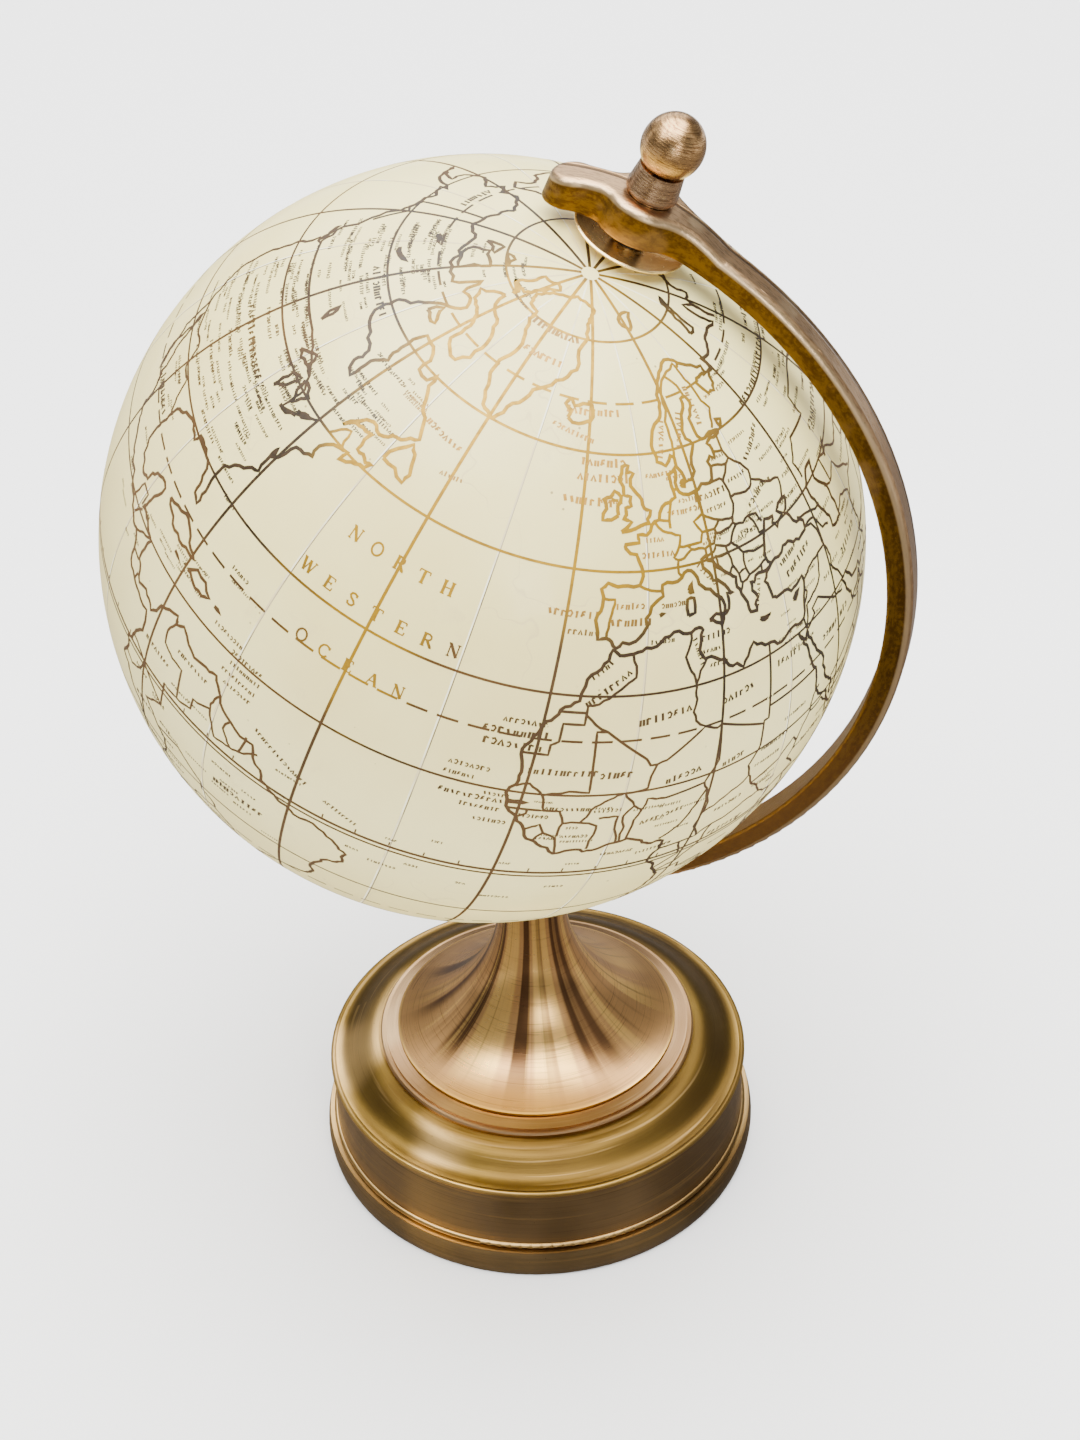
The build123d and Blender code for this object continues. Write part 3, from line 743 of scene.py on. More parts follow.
# ---------------------------------------------------------------- the printed map
class Land(Enum):
    """Coastlines, as "lon lat" corners. Each is one line; a closed one repeats its first corner."""

    EURASIA = """32.5 31.2,34.3 31.4,35 33,35.9 35,36 36.8,34 36.3,32.3 36.1,30.6 36.8,28.3 36.7,27.4 37,27 38.4,
        26.2 39.5,27.2 40.4,29.1 41.1,31.3 41.2,33.3 42,35 42,36.5 41.3,38.3 41,41 41.3,41.5 42.4,38.2 44.4,37 45.3,
        39.2 47.1,38 47.1,35 46.3,36.5 45.4,35.4 45.1,33.6 44.4,32.6 45.4,33.5 46.1,30.8 46.5,29.7 45.2,28.5 43.5,
        27.8 42.6,28.2 41.5,29 41.2,27.3 40.7,26 40.8,24.3 40.8,23.7 40.1,22.8 40.5,22.8 39.3,23.9 38.1,23 37.5,
        23.1 36.5,22.4 36.7,21.7 36.8,21.3 37.8,21.1 38.4,20.2 39.5,19.4 40.6,19.6 41.8,18.4 42.4,16.5 43.4,15 44.6,
        13.8 44.9,13.6 45.7,12.3 45.3,12.4 44.3,13.6 43.5,14.2 42.4,16.1 41.8,18.4 40.1,16.9 40.4,17.1 39.1,16.2 38,
        15.7 38,16.1 39,15.5 40.1,14 40.9,12.3 41.7,11 42.5,10.2 43.9,8.8 44.4,7.4 43.7,5.3 43.3,3.1 43.2,3.2 41.9,
        0.8 40.8,-0.3 39.4,0.2 38.7,-0.7 37.7,-2 36.8,-4.4 36.7,-5.5 36,-6.4 36.8,-7.4 37.2,-8.9 37,-9.4 38.7,
        -8.7 41,-9.2 43,-8 43.7,-4 43.4,-1.6 43.4,-1.2 45.6,-2.2 47.2,-4.6 48,-4.7 48.5,-1.5 48.7,-1.8 49.7,0.2 49.6,
        1.6 50.8,3.6 51.4,4.8 53,7 53.4,8.7 53.9,8.3 55.5,8.2 57,10.5 57.7,10.2 56.4,9.7 55.1,11 54.1,14.2 54,
        17 54.7,19.5 54.4,21 55.4,21.2 57.1,22.6 57.6,24 57.1,24.4 58.3,23.5 59.2,28 59.6,30 60,25 60.2,22.6 60,
        21.4 61.3,21.5 63,25.2 64.8,24.5 65.7,22.3 65.7,21.3 64.5,18.3 62.8,17.2 60.8,18.8 59.8,16.7 58.4,16.2 56.5,
        14.4 55.6,12.9 55.5,12.3 56.8,11.3 58.9,10.4 59.4,8 58.1,5.6 58.8,5 61,6.5 62.8,10 64,12.8 66,14.8 68,
        17.5 69.2,21 70.1,25.8 71,30.5 70.3,33 69.4,41 67.6,40.6 66.5,34.5 66.8,33 66.4,35 64.4,38 64.2,40 65,
        42.3 66.4,44.2 66.2,44 68.3,47 67.8,54 68.5,60 69,68.5 68.3,67 71,69.5 73,73 71.5,72.5 68,75 72.5,80.5 72.2,
        81 73.6,87 75,98 76.2,104.3 77.6,112 76.5,109 73.8,120 73,127 73.4,130 71,140 72.6,151 71.4,160 69.8,
        170 69.5,176 69.8,180 68.9,187 67,190 66,187 64.4,180 65,177.5 62.5,172 61,166 60,163 59.6,162.8 57.8,
        161.5 55,158.3 52.8,156.7 51,155.7 55.5,158 58,163.5 61.6,160 61.7,155 59.3,148 59.4,142.5 59.2,137.5 55.8,
        137.5 54,141 52.8,140.3 49.5,138.3 46.5,135.5 44.2,131.5 43.2,129.7 41,127.5 39.6,129.4 37,129 35.3,
        126.4 34.5,126.6 37.5,125 38,124.3 40,121.5 39,121.8 40.8,118 39,119 37.4,122.4 37.2,119.4 35,121.8 31.8,
        121.5 28.5,119 25.5,116.5 23.2,113.5 22.3,110.3 21.2,108 21.6,106 19.6,108.5 16,109.3 12.5,106.8 10.4,
        104.9 8.7,105 10.4,102.6 12,100.9 13.3,99.2 10.4,100.6 7.2,103.4 4.4,104.1 1.4,101.3 2.9,100.2 6.5,98.4 8.2,
        98.8 12,97.6 16.4,94.4 16,94.2 18.5,91.8 22.4,89 21.8,86.9 21.2,82.3 16.6,80.2 15,80 12,79.2 9.5,77.6 8.1,
        76 10.5,74 15,72.8 19.5,72.6 21.4,70.5 20.8,69 22.4,67 24.8,61.5 25.1,57.2 25.8,56.5 27.1,52.5 27.4,50 30.1,
        48 29.9,50.2 26.6,51.3 25.6,51.8 24,54.5 24.4,56.2 26,57 23.9,59.7 22.5,57.7 19,54 17,48.5 14,45 12.9,
        43.4 12.8,42.8 16,39.2 21,37.2 24.8,35 28.2,34.9 29.5,34.3 27.9,32.6 29.9"""
    AFRICA = """32.5 29.9,33.6 27.8,35.5 24.2,37.2 21,37.4 18.6,39.4 15.6,42 13.8,43.2 11.7,44.6 10.5,48 11.2,
        51.2 11.9,50.8 9.5,48 4.5,44.5 1.8,41 -2.2,39.5 -4.5,38.9 -6.3,39.5 -9,40.6 -12.5,40.6 -15.5,37 -17.9,
        34.8 -20,35.4 -23.8,32.8 -25.8,32.5 -28.4,30 -31.3,27.5 -33.3,22.5 -34,20 -34.8,18.3 -34,18.2 -31.8,15.8 -28,
        14.4 -22.8,12 -18,13.5 -12.5,13.2 -8.8,12.2 -6,10.8 -3.8,8.8 -0.8,9.6 2,9.6 4,7 4.3,5 5.6,3 6.4,1 5.9,-2 4.8,
        -4.5 5.2,-7.6 4.4,-10.5 6.3,-12.8 7.8,-13.6 9.6,-15.2 11.3,-16.8 12.6,-17.4 14.7,-16.4 16.2,-16.3 19,-17 21,
        -15.9 23.8,-14.6 26.1,-12.9 27.9,-10.2 29.3,-9.7 31.3,-7.5 33.5,-6 35.8,-3 35.2,0 35.9,3.4 36.9,7 37,
        10.2 37.3,11 36.9,10.2 34.4,11.2 33.2,13.5 32.8,15.2 32.3,16 31.3,19 30.3,20.1 31.4,21.5 32.9,23.2 32.2,
        25.2 31.6,29 30.9,31 31.5,32.5 31.2"""
    AMERICAS = """-156.5 71.3,-145 70,-135 69,-128 70.2,-118 69.3,-108 68,-97 68,-94 71.8,-90 69,-85.5 69.5,
        -81.5 68.5,-86.5 66.2,-90 64,-94.5 61,-94 58.7,-92 57,-86 55.6,-82.4 55,-82.2 52.8,-79.3 51.3,-79.5 54.6,
        -77 56.5,-78.3 58.8,-77.6 62.4,-73 62.2,-69.6 60.8,-69.5 59,-65.5 58.8,-64.6 60.3,-61.6 57,-57.5 54.3,
        -55.8 52.5,-59 51,-66.4 50.2,-70.8 47,-68 48.5,-64.4 49,-65 47.8,-64.6 46.3,-61.5 45.8,-60 46.2,-61 45.2,
        -64.5 44.2,-66 43.7,-65.5 45.2,-67.5 44.8,-70 43.8,-70.7 42.2,-70 41.7,-73.8 40.8,-74.3 39.4,-75.8 37.4,
        -76.2 39,-76 36.8,-75.6 35.3,-78 33.9,-81.1 31.8,-80.6 28.3,-80.2 25.4,-81.8 26,-82.8 28.2,-84.2 30,-86 30.4,
        -89 30.3,-89.3 29.1,-93 29.7,-95.2 28.9,-97.3 27.3,-97.7 22.8,-96 19,-94 18.2,-91.5 18.6,-90.4 21,-87 21.5,
        -88 18,-88.8 15.9,-86 15.9,-83.2 15,-83.7 11.2,-81.5 8.9,-79.5 9.6,-77 8.2,-75.4 10.7,-71.8 12.3,-71.5 11,
        -70 12,-68 10.6,-64.5 10.2,-61.8 10.6,-60 8.4,-57 6,-52.8 5.3,-50.5 2,-50 0.4,-48 -0.8,-44 -2.7,-40 -2.9,
        -37 -4.8,-35.1 -6.5,-35.2 -9.2,-38.5 -13,-39.2 -17.5,-41 -22,-45 -23.6,-48.5 -26,-50 -30,-53.5 -34,
        -57.8 -34.5,-57 -36.5,-62 -38.9,-65 -41,-64.3 -42.8,-67.4 -46,-66 -48,-69 -50.6,-68.4 -52.5,-71 -53.7,
        -74 -52.5,-75.4 -49,-74.5 -46,-72.8 -42,-73.5 -38,-71.5 -32.5,-70.4 -25,-70.3 -18.4,-75.5 -15,-78.8 -8.5,
        -81.2 -5.5,-80 -2.8,-80.4 -0.5,-78.8 1.7,-77.2 4,-77.8 7.4,-80 7.4,-83 8.3,-85.7 10,-87.6 13,-92 14.5,
        -95.5 16,-101 17.6,-105.5 20,-105.8 22.4,-109.4 26,-112.6 29.8,-114.7 31.7,-112.7 27.8,-109.7 23.1,-112 25,
        -115 28.2,-117.2 32.5,-120.5 34.5,-123.8 39,-124.3 43,-123.9 46.3,-124.6 48.4,-122.6 48.8,-127.5 51.3,
        -131 55,-135 58.4,-139.8 59.7,-146 60.8,-151.4 59.4,-151 61,-154 58.4,-160 55.7,-165 54.6,-158 57.8,
        -157.3 58.9,-162 58.8,-165.5 61.4,-161 64,-167 65.2,-162.5 66.6,-166.4 68.4,-161.5 70.3,-156.5 71.3"""
    GREENLAND = """-44 60,-41 63,-37 65.8,-30 68.2,-22.5 70.4,-21.5 74,-18.6 77,-12.5 81.4,-25 83,-38 83.5,-52 82.2,
        -65 81,-72 78.4,-67 76.2,-59 75.8,-55 72.5,-51 69.8,-53.7 67,-52 64.3,-48.5 61,-44 60"""
    ISLES = """-5.6 50.1,-3.5 50.3,1.3 51.1,0.7 51.6,1.7 52.7,0.2 53,-0.3 54.2,-1.5 55,-3 56,-1.9 57.6,-4 57.6,
        -3.2 58.6,-5 58.5,-6 56.8,-4.9 54.8,-3.1 54.6,-3.1 53.4,-4.5 53.2,-4.4 52.3,-5.2 51.8,-3.1 51.4,-5.6 50.1;
        -6.3 52.2,-10 51.5,-9.2 53,-10 54.2,-8.3 54.5,-7.3 55.3,-5.6 54.6,-6.3 52.2;-22.6 63.9,-18.7 63.4,-14 64.6,
        -14.6 66.1,-18 66.1,-21 65.6,-22.6 66.4,-24.3 65.6,-22 65,-22.6 63.9;12.5 37.8,15.6 38.2,15.1 36.7,12.5 37.8;
        8.2 39,8.2 41,9.6 41,9.6 39.2,8.2 39;8.6 42,9.4 43,9.5 41.6,8.6 42;23.6 35.4,26.2 35.2,24.6 34.9,23.6 35.4;
        32.4 34.9,34.5 35.6,33 34.6,32.4 34.9;2.4 39.6,3.4 39.8,2.4 39.6;11 55.4,12.5 56,12 54.9,11 55.4;52 71,
        55.5 73.6,61 76.2,68 76.8,58 73,57 71,52 71;16 76.7,11.5 79.4,20 80.4,27 80,21 78.2,16 76.7;96 79,95 81,
        104 79.4,96 79;138 75.6,150 75.2,142 73.6,138 75.6"""
    EAST_ISLES = """142 46,143.6 49.3,142.8 54.3,141.8 50,142 46;140 42,141.6 45.4,145.3 43.4,143 42,140 42;
        141.4 41.4,141.9 39,140.8 35.5,137 34.6,135.7 33.5,131 34,133 35.5,136.6 37,139.6 39,141.4 41.4;130 33.4,
        131.8 33.5,131 31.2,130 33.4;132.5 33.9,134.6 34,133 32.8,132.5 33.9;121.5 25.2,120.8 22,121.5 25.2;109 19.6,
        111 20,109.6 18.3,109 19.6;120.5 18.5,122.2 18.4,121.8 14.2,124 12.8,120.3 13.8,120.5 18.5;122 7,125.4 9.8,
        126.4 7.2,124 6,122 7;109 1.6,113 3.2,116.8 7,119 5.1,117.6 1,116 -3.6,110.2 -2.8,109 1.6;95.3 5.6,100.5 2.2,
        106 -3,105.6 -5.8,100.4 -0.6,95.3 5.6;105.2 -6.6,111 -6.5,114.4 -8.6,106.4 -7.4,105.2 -6.6;119.6 -5.5,
        119.8 0.5,124.8 1.5,120.6 -0.9,123 -0.9,122.4 -4.4,120.4 -2.9,119.6 -5.5;131 -0.9,134.4 -3.2,138 -1.7,
        145 -4.3,150.6 -10.4,143.4 -8.8,138.4 -8.2,137.8 -5.2,133 -4,131 -0.9;80 9.7,81.8 7.4,80.2 6,80 9.7;
        49.3 -12.1,50.4 -15.8,47.2 -24.8,43.8 -23,44.2 -17,49.3 -12.1"""
    WEST_ISLES = """-80.5 73.7,-71 71,-62 66.7,-65 63.2,-72.5 64.6,-72.8 67.6,-85 70,-89.6 71.2,-80.5 73.7;-90 76.6,
        -78 76.5,-75 79,-62.5 82.4,-75 83.1,-90 81.6,-87 79,-90 76.6;-80 74.7,-91.5 76.3,-80 75.7,-80 74.7;-117 69.9,
        -105 69,-104.6 73,-117.5 72.8,-117 69.9;-125 72,-116 73.4,-123 74.4,-125 72;-105 75.3,-117 75.4,-112 76.6,
        -105 75.3;-87 64,-80.6 64,-85 66,-87 64;-59.3 47.8,-53 46.8,-53.6 49.4,-56 51.6,-59.3 47.8;-123.6 48.4,
        -128.2 50.7,-125 49.6,-123.6 48.4;-84.9 21.9,-80.5 23.1,-74.3 20.3,-77.6 19.9,-84.9 21.9;-74.4 18.5,
        -72.8 19.9,-68.5 18.5,-71.6 17.7,-74.4 18.5;-78.2 18.4,-76.3 18,-78.2 18.4;-67.2 18.4,-65.7 18.2,-67.2 18.4;
        -68.5 -52.8,-65.3 -54.8,-70.5 -55.2,-68.5 -52.8;-61 -51.8,-58 -51.6,-61 -51.8;-92 46.8,-88.4 48.6,-84.8 46.6,
        -88 46.8,-92 46.8;-87.8 42,-87.6 44.8,-85.2 45.6,-86.4 43,-87.8 42;-84.4 45.9,-80.2 45.2,-81.8 43.2,
        -83.6 44.4,-84.4 45.9;-83.2 41.8,-79 42.8,-83.2 41.8;-79.6 43.3,-76.4 44,-79.6 43.3;-97 50.5,-98.8 53.4,
        -97 50.5;-117 61.2,-110 62.6,-117 61.2;-124.5 65.6,-119 66.2,-124.5 65.6"""
    SOUTH = """130.8 -12.4,136.7 -12.2,135.6 -15,140.8 -17.5,142.5 -10.8,145.4 -15,149 -20.4,153.4 -26,152.6 -32,
        150 -37.3,146.4 -39,140.6 -38,138.4 -35.2,135.8 -34.8,131.2 -31.5,126 -32.3,123.6 -33.9,118 -35,115.1 -34.2,
        115.7 -31.6,113.6 -26,114 -22,119.5 -20,122.3 -17.6,126 -14.2,129.6 -14.9,130.8 -12.4;144.8 -40.8,
        148.3 -40.9,146.8 -43.6,144.8 -40.8;172.8 -34.5,178.4 -37.7,175.3 -41.6,173.8 -39.3,172.8 -34.5;172.8 -40.6,
        174.2 -41.8,170.6 -45.9,166.6 -45.9,172.8 -40.6;50 46.7,53 46.6,51 44.5,53.9 41,53.9 37,50 37.4,49.2 40.2,
        47 43.4,47 45,50 46.7;59 43.8,61.6 45.6,59 43.8;104 51.6,109.8 55.6,104 51.6;32 0.3,34 -0.6,32 -2.4,32 0.3;
        29.4 -3.5,31 -8.6,29.4 -3.5;34 -10,35 -14.2,34 -10;31.2 60.2,32.8 61,30.8 61.4,31.2 60.2;-57 -63.4,-62 -66,
        -61 -70,-62 -74,-45 -78,-30 -77,-18 -72.8,0 -70.2,15 -70,30 -69.4,45 -67.6,55 -66,70 -68.6,88 -66.8,
        110 -66.2,130 -66.2,148 -67.6,162 -70,171 -72,165 -77.6,180 -78.2,203 -77.6,225 -74.8,245 -74,260 -72.6,
        284 -72.8,293 -69,295 -65.5,303 -63.4"""


class Frontier(Enum):
    """Land borders, as "lon lat" corners; a semicolon starts a new line."""

    EUROPE = """-8.8 41.9,-6.4 41.8,-7 39.6,-7.4 37.2;-1.8 43.4,0.7 42.7,3.1 42.5;2.5 51.1,4.2 49.9,6.2 49.5,8.2 49,
        7.6 47.6,6.1 46.3,7 45.9,6.8 44.3,7.5 43.8;3.4 51.4,5.9 51.1,6.1 50.1;7.2 53.3,6.2 51.4,6.1 50.1;8.7 54.9,
        9.9 54.8;7.6 47.6,9.6 47.5,10.4 46.9,8.4 46,7 45.9;9.6 47.5,13 47.5,13.8 48.7,12.2 50.3,14.8 51;14.3 53.9,
        14.7 52.4,14.8 51,16.5 50.2,18.8 49.5,22.6 49.1,24 50.6,23.5 53.9,22.8 54.4,19.6 54.4;13.8 48.7,17 48.6,
        18.8 49.5;17.1 48,22.2 48.4,22.6 49.1;10.4 46.9,13.7 46.5,16.1 46.8,17.1 48,17 48.6;13.7 46.5,13.7 45.7;
        13.8 45.5,15.6 45.8,16.4 46.5,18.8 45.9,20.3 46.1,22.9 48;18.4 42.5,16 44,15.8 45.2,19 44.9,19.4 43.3,
        18.5 42.6;18.8 45.9,19 44.9;19.4 43.3,20.5 42,22.4 42.3,22.7 44.2,20.3 46.1;22.7 44.2,25.4 43.7,28.5 43.7;
        22.4 42.3,23 41.3,26.3 41.7,28 42;20 39.7,21 40.8,23 41.3;20.5 42,20.6 41,21 40.8;26.3 41.7,26.1 40.8;
        22.9 48,24.9 47.7,26.7 48.2,28.2 46,28.2 45.4,29.6 45.3;26.7 48.2,29.2 47.9,30 46.5;22.6 49.1,22.2 48.4,
        22.9 48;23.6 51.5,30.5 51.3,31.8 52.1,34.3 51.3,36.5 50.3,40 49.6,38.3 47.2;23.5 53.9,26.6 55.7,28.2 56.2,
        31 54.7,32.4 53.3,31.8 52.1;21.1 56.2,26.6 55.7;24.3 57.9,27.4 57.5,28.2 56.2;27.4 57.5,28 59.5;11.3 59,
        12 61.6,12.2 63.6,14.2 65,16.5 68,20.5 69.1,25.8 69.6,28.6 70.1,29 69.2,30.8 69.8;20.5 69.1,23.8 67.4,
        24.2 65.8;29 69.2,30 66,30 64.2,31.5 62.9,28 60.6;-8 54.3,-6.3 54.1"""
    EAST = """36 36,38.4 36.8,42.4 37.2,44.8 37.2,44.4 39.8,43.4 41.1,41.5 41.5;42.4 37.2,41 34.5,38.8 33.4,
        35.9 32.8;35.2 33.1,36.5 34.3,36 34.7;35.7 32.8,35.5 31,34.9 29.5;34.3 31.3,34.9 29.5;35.1 29.4,37.5 30.6,
        37 31.5,39.2 32.2,44.7 29.2,47.6 28.6;44.8 37.2,46 35,45.5 33.8,47.8 31.2,48.5 30;42.8 16.5,46 17.2,52 19,
        55 20,55.2 22.7,51.6 24.1;52 19,53.1 16.7;55.2 22.7,56.2 24.8;53.9 37.3,57.2 38.2,61.2 36.5,60.7 33.5,
        61.8 31,61 29.8,63.2 27.2,61.6 25.2;61 29.8,66.3 29.9,69.5 32,71.4 36,74.8 37.2,77 35.4,74.4 32.8,74.4 31,
        70.4 27.8,70 24.6,68.3 23.8;61.2 35.5,64.5 37.2,68 37,71.4 38.2,74.8 37.2;77 35.4,79 32.4,81 30.2,88.2 28,
        92 27.7,97.3 28.2,97.6 24,101.4 21.6,105.3 23.2,108 21.6;80.3 29,84.4 27.3,88.1 26.5,88.2 28;89 21.9,
        88.4 24.5,88.8 26.2,92.2 25.1,91.4 23.4,92.3 21.2;97.3 28.2,94.2 24,92.5 21.4;97.8 20,97.7 18.4,98.8 15.8,
        98.7 10.6;100.4 20.3,101 17.8,104.6 17.4,105.6 14.5,102.4 13.6,102.8 11.8;102 22.4,104.6 20,107.2 15.6,
        106 11.2,104.5 10.4;101.4 21.6,100.2 20.3,97.8 20;88 49.1,91 45.2,96.4 42.8,105 41.7,112 44.9,119.6 46.6,
        116.2 49.8;88 49.1,92 50.7,98.6 52,102.4 50.4,108 49.4,116.2 49.8,120.4 53.2,125.6 53,127.6 49.8,131 47.8,
        134.7 48.3,132.8 45,130.8 42.6,128 42,124.4 40;126.7 37.8,128.4 38.6;47.4 46.4,47 49,51.4 51.4,61 50.8,
        61.6 54,70.8 54.6,76.6 54.1,80.2 50.8,88 49.1;53 42.2,56 41.3,56 45,61 44.4,66 42.2,71 42.6,80.2 42.2,
        80.4 45,83 47.2,88 49.1;56 41.3,60 42.2,62 40,66.5 37.4;71 42.6,70.4 40.2,73.8 39.5,80.2 42.2;73.8 39.5,
        74.8 37.4;40 43.4,43.8 42.6,46.6 41.8,48.5 41.8;41.5 41.5,45 41.3,46.6 39,48.8 38.5;109.6 2,112 1.2,115 1.3,
        117.8 4.2;141 -2.6,141 -9.1"""
    AFRICA = """-2.2 35.1,-1.4 32.3,-3.7 30.9,-5.5 29.7,-8.7 28.7,-8.7 27.4;-13.2 27.7,-8.7 27.7;-8.7 27.4,-8.7 26,
        -12 26,-12 23.4,-13.1 22.8,-13.1 21.3,-17 21.3;-8.7 27.4,-4.8 25,1.2 21.1,3.2 19.2,4.3 19.2,5.8 19.6,
        11.9 23.5,10 24.8,9.4 26.2,9.9 28,9.6 30.2,10.3 31.8,11.5 33.1;9.6 30.2,8.2 32.6,7.5 34,8.4 35.5,8.6 36.9;
        -4.8 25,-6.5 25,-5.5 15.5,-9.5 15.4,-12.2 14.8,-14.5 16.6,-16.4 16;-12.2 14.8,-11.4 12.4,-16.7 12.4;
        -16.7 13.6,-13.9 13.5,-16.7 13.2;-13.7 12.5,-13.7 11.7,-15 11;-11.4 12.4,-9 12.4,-8 10.3,-8.3 7.6,-10.3 8.5,
        -11.2 10,-13.2 9;-10.3 8.5,-11.4 6.9;-8.3 7.6,-7.5 4.5;-8 10.3,-5.5 10.4,-2.8 9.7,-3 5.2;-2.8 11,0.1 11.1,
        0.6 8,1.2 6.1;0.9 11,1.6 9,1.7 6.2;3.6 11.7,2.8 8,2.7 6.4;-5.5 10.4,-4.4 12.6,-2 14.2,0.2 15,2.2 12.6,0.9 11;
        0.2 15,3.6 15.4,4.3 19.2;2.2 12.6,3.6 11.7,4.1 13.5,7 13,13.6 13.7,15.5 16.9,15 23;11.9 23.5,14.2 22.6,15 23,
        24 19.5,24 15.7,22.2 13,23 10.9;24 19.5,24 20,25 20,25 31.6;25 22,36.9 22;13.6 13.7,14.4 12.4,13.3 10,
        11.5 6.8,8.6 4.8;14.4 12.4,15.3 10,15.2 7.5,14.6 5,16.1 2.2,9.8 2.2;15.2 7.5,19 9,23 10.9,24.2 8.7,27.4 5.1,
        22.5 4.1,18.6 3.5,16.1 2.2;13.2 2.2,14.4 -1.5,11.2 -3.9;18.6 3.5,17.8 -0.5,15.3 -4.3,12.4 -5.4;12.4 -6,
        16.6 -5.9,17.2 -8,21.8 -7.3,22 -11,24 -11,24 -13,22 -13,22 -16.2,23.3 -17.6,18.5 -17.4,11.8 -17.2;21 -18.2,
        21 -22,20 -22,20 -28.4,16.5 -28.6;20 -24.8,23 -25.3,25.6 -25.6,29.4 -22.2,31.3 -22.4,32 -26.8;25.3 -17.8,
        27.7 -20.8,29.4 -22.2;25.3 -17.8,28.9 -15.9,33 -14,33 -9.6,30.8 -8.3,29.4 -4.5,29.6 -1.3,34 -1,37.7 -3.1,
        39.2 -4.7;30.6 -15.8,33 -16.7,32.6 -20,31.3 -22.4;33 -14,35.2 -16.6,35.8 -14.6,34.6 -11.6,40.4 -10.5;
        28.6 -8.4,28.5 -12,29.8 -13.3;29.6 -1.3,29.9 1.2,30.9 3.5,34 4.2,35 1.8,34 -1;34 4.2,38 3.6,41.9 3.9,41 -0.9,
        41.6 -1.7;41.9 3.9,45 5,48 8,43.4 9.2,42.8 10.9,42.4 12.4,40 14.5,36.6 14.3,34.3 10.6,33 7.9,35.9 5,34 4.2;
        36.6 14.3,37 17,38.5 18;24.2 8.7,30 9.8,33 12,34.3 10.6;27.4 5.1,30.9 3.5"""
    AMERICAS = """-122.8 49,-95.2 49,-89.5 48,-84.8 46.7,-82.5 45.3,-82.6 42,-79 43,-76.3 44.2,-74.7 45,-71.5 45,
        -70.2 46.4,-68.3 47.3,-67.8 45.7,-67 44.9;-141 69.6,-141 60.3,-137.5 59,-135 59.6,-130 55.3;-117.1 32.5,
        -111 31.4,-106.5 31.8,-104.4 29.6,-101.4 29.8,-99.5 27.5,-97.2 25.9;-92.2 14.6,-91.4 17.8,-89.2 17.8,
        -89.2 15.9;-90 13.8,-88.4 15.6;-87.4 13,-83.3 15;-85.7 11.1,-83.7 10.9;-82.9 8.3,-82.6 9.5;-71.4 11.8,
        -72.4 9,-72 7.1,-67.5 6.2,-66.9 1.2,-69.8 1.1,-69.9 -4.2,-75.2 -0.2,-78.8 1.4;-75.2 -0.2,-75.6 -2.2,
        -78.4 -4.8,-80.3 -3.4;-66.9 1.2,-64 2,-64 4,-60.8 5.2,-61 6,-60 8.3;-60.8 5.2,-59.8 3,-58.9 1.3,-54.5 2.3,
        -51.6 4.2;-57.2 5.9,-57.9 4,-56 1.9;-54 5.7,-54.5 2.3;-69.9 -4.2,-73.8 -7.3,-70.6 -11,-65.3 -10,-60.2 -14,
        -60.2 -16.3,-57.8 -18,-57.9 -20,-62.3 -20.6,-62.6 -22.2,-67.2 -22.8,-69.5 -17.5,-68.9 -12.6,-70.6 -11;
        -70.3 -18.3,-69.5 -17.5;-67.2 -22.8,-68.5 -27,-70 -31,-70.4 -35,-71.6 -40,-71.8 -44,-72.5 -50,-71.9 -52,
        -68.4 -52.3;-57.9 -20,-55.8 -22.3,-54.4 -24.2,-54.6 -25.6,-58.4 -27.2,-57.7 -25.3,-62.6 -22.2;-58.3 -33.9,
        -57.6 -30.2,-53.4 -33.7;-57.6 -30.2,-53.8 -27.1,-54.6 -25.6"""


@dataclass(frozen=True)
class MapLay:
    """Where the print lies on the ball: its pole leans off the spindle, and its parallels sit a little off."""

    centre: Vector
    spindle: Vector
    radius: float
    pole_lean: float = math.radians(10.04)
    pole_bearing: float = math.radians(-103.6)
    prime_turn: float = math.radians(51.4)
    printed_at: tuple[float, ...] = (-90.0, -60.0, 0.0, 15.0, 30.0, 45.0, 60.0, 75.0, 90.0)
    lands_at: tuple[float, ...] = (-90.0, -61.5, -2.7, 14.2, 30.1, 47.1, 62.5, 78.5, 90.0)

    def turn(self) -> np.ndarray:
        """The rotation from the print's own frame to the row frame.

        Returns:
            A 3 by 3 matrix.
        """
        across = Vector((0.0, 1.0, 0.0))
        forward = across.cross(self.spindle).normalized()
        spindle = np.array([forward, across, self.spindle]).T
        lay = Matrix.Rotation(self.pole_bearing, 3, "Z")
        lay = lay @ Matrix.Rotation(self.pole_lean, 3, "Y") @ Matrix.Rotation(self.prime_turn, 3, "Z")
        return spindle @ np.array(lay)

    def way(self, lon: Any, lat: Any) -> np.ndarray:
        """Unit directions in the row frame of printed places.

        Args:
            lon: longitudes in degrees.
            lat: latitudes in degrees.

        Returns:
            A direction for each place.
        """
        lat = np.radians(np.interp(lat, self.printed_at, self.lands_at))
        lon = np.radians(lon)
        flat = np.stack([np.cos(lat) * np.cos(lon), np.cos(lat) * np.sin(lon), np.sin(lat)], -1)
        return flat @ self.turn().T

    def spot(self, lon: float, lat: float) -> Vector:
        """The point of the ball's surface at a printed place."""
        return self.centre + Vector(self.way(lon, lat)) * self.radius


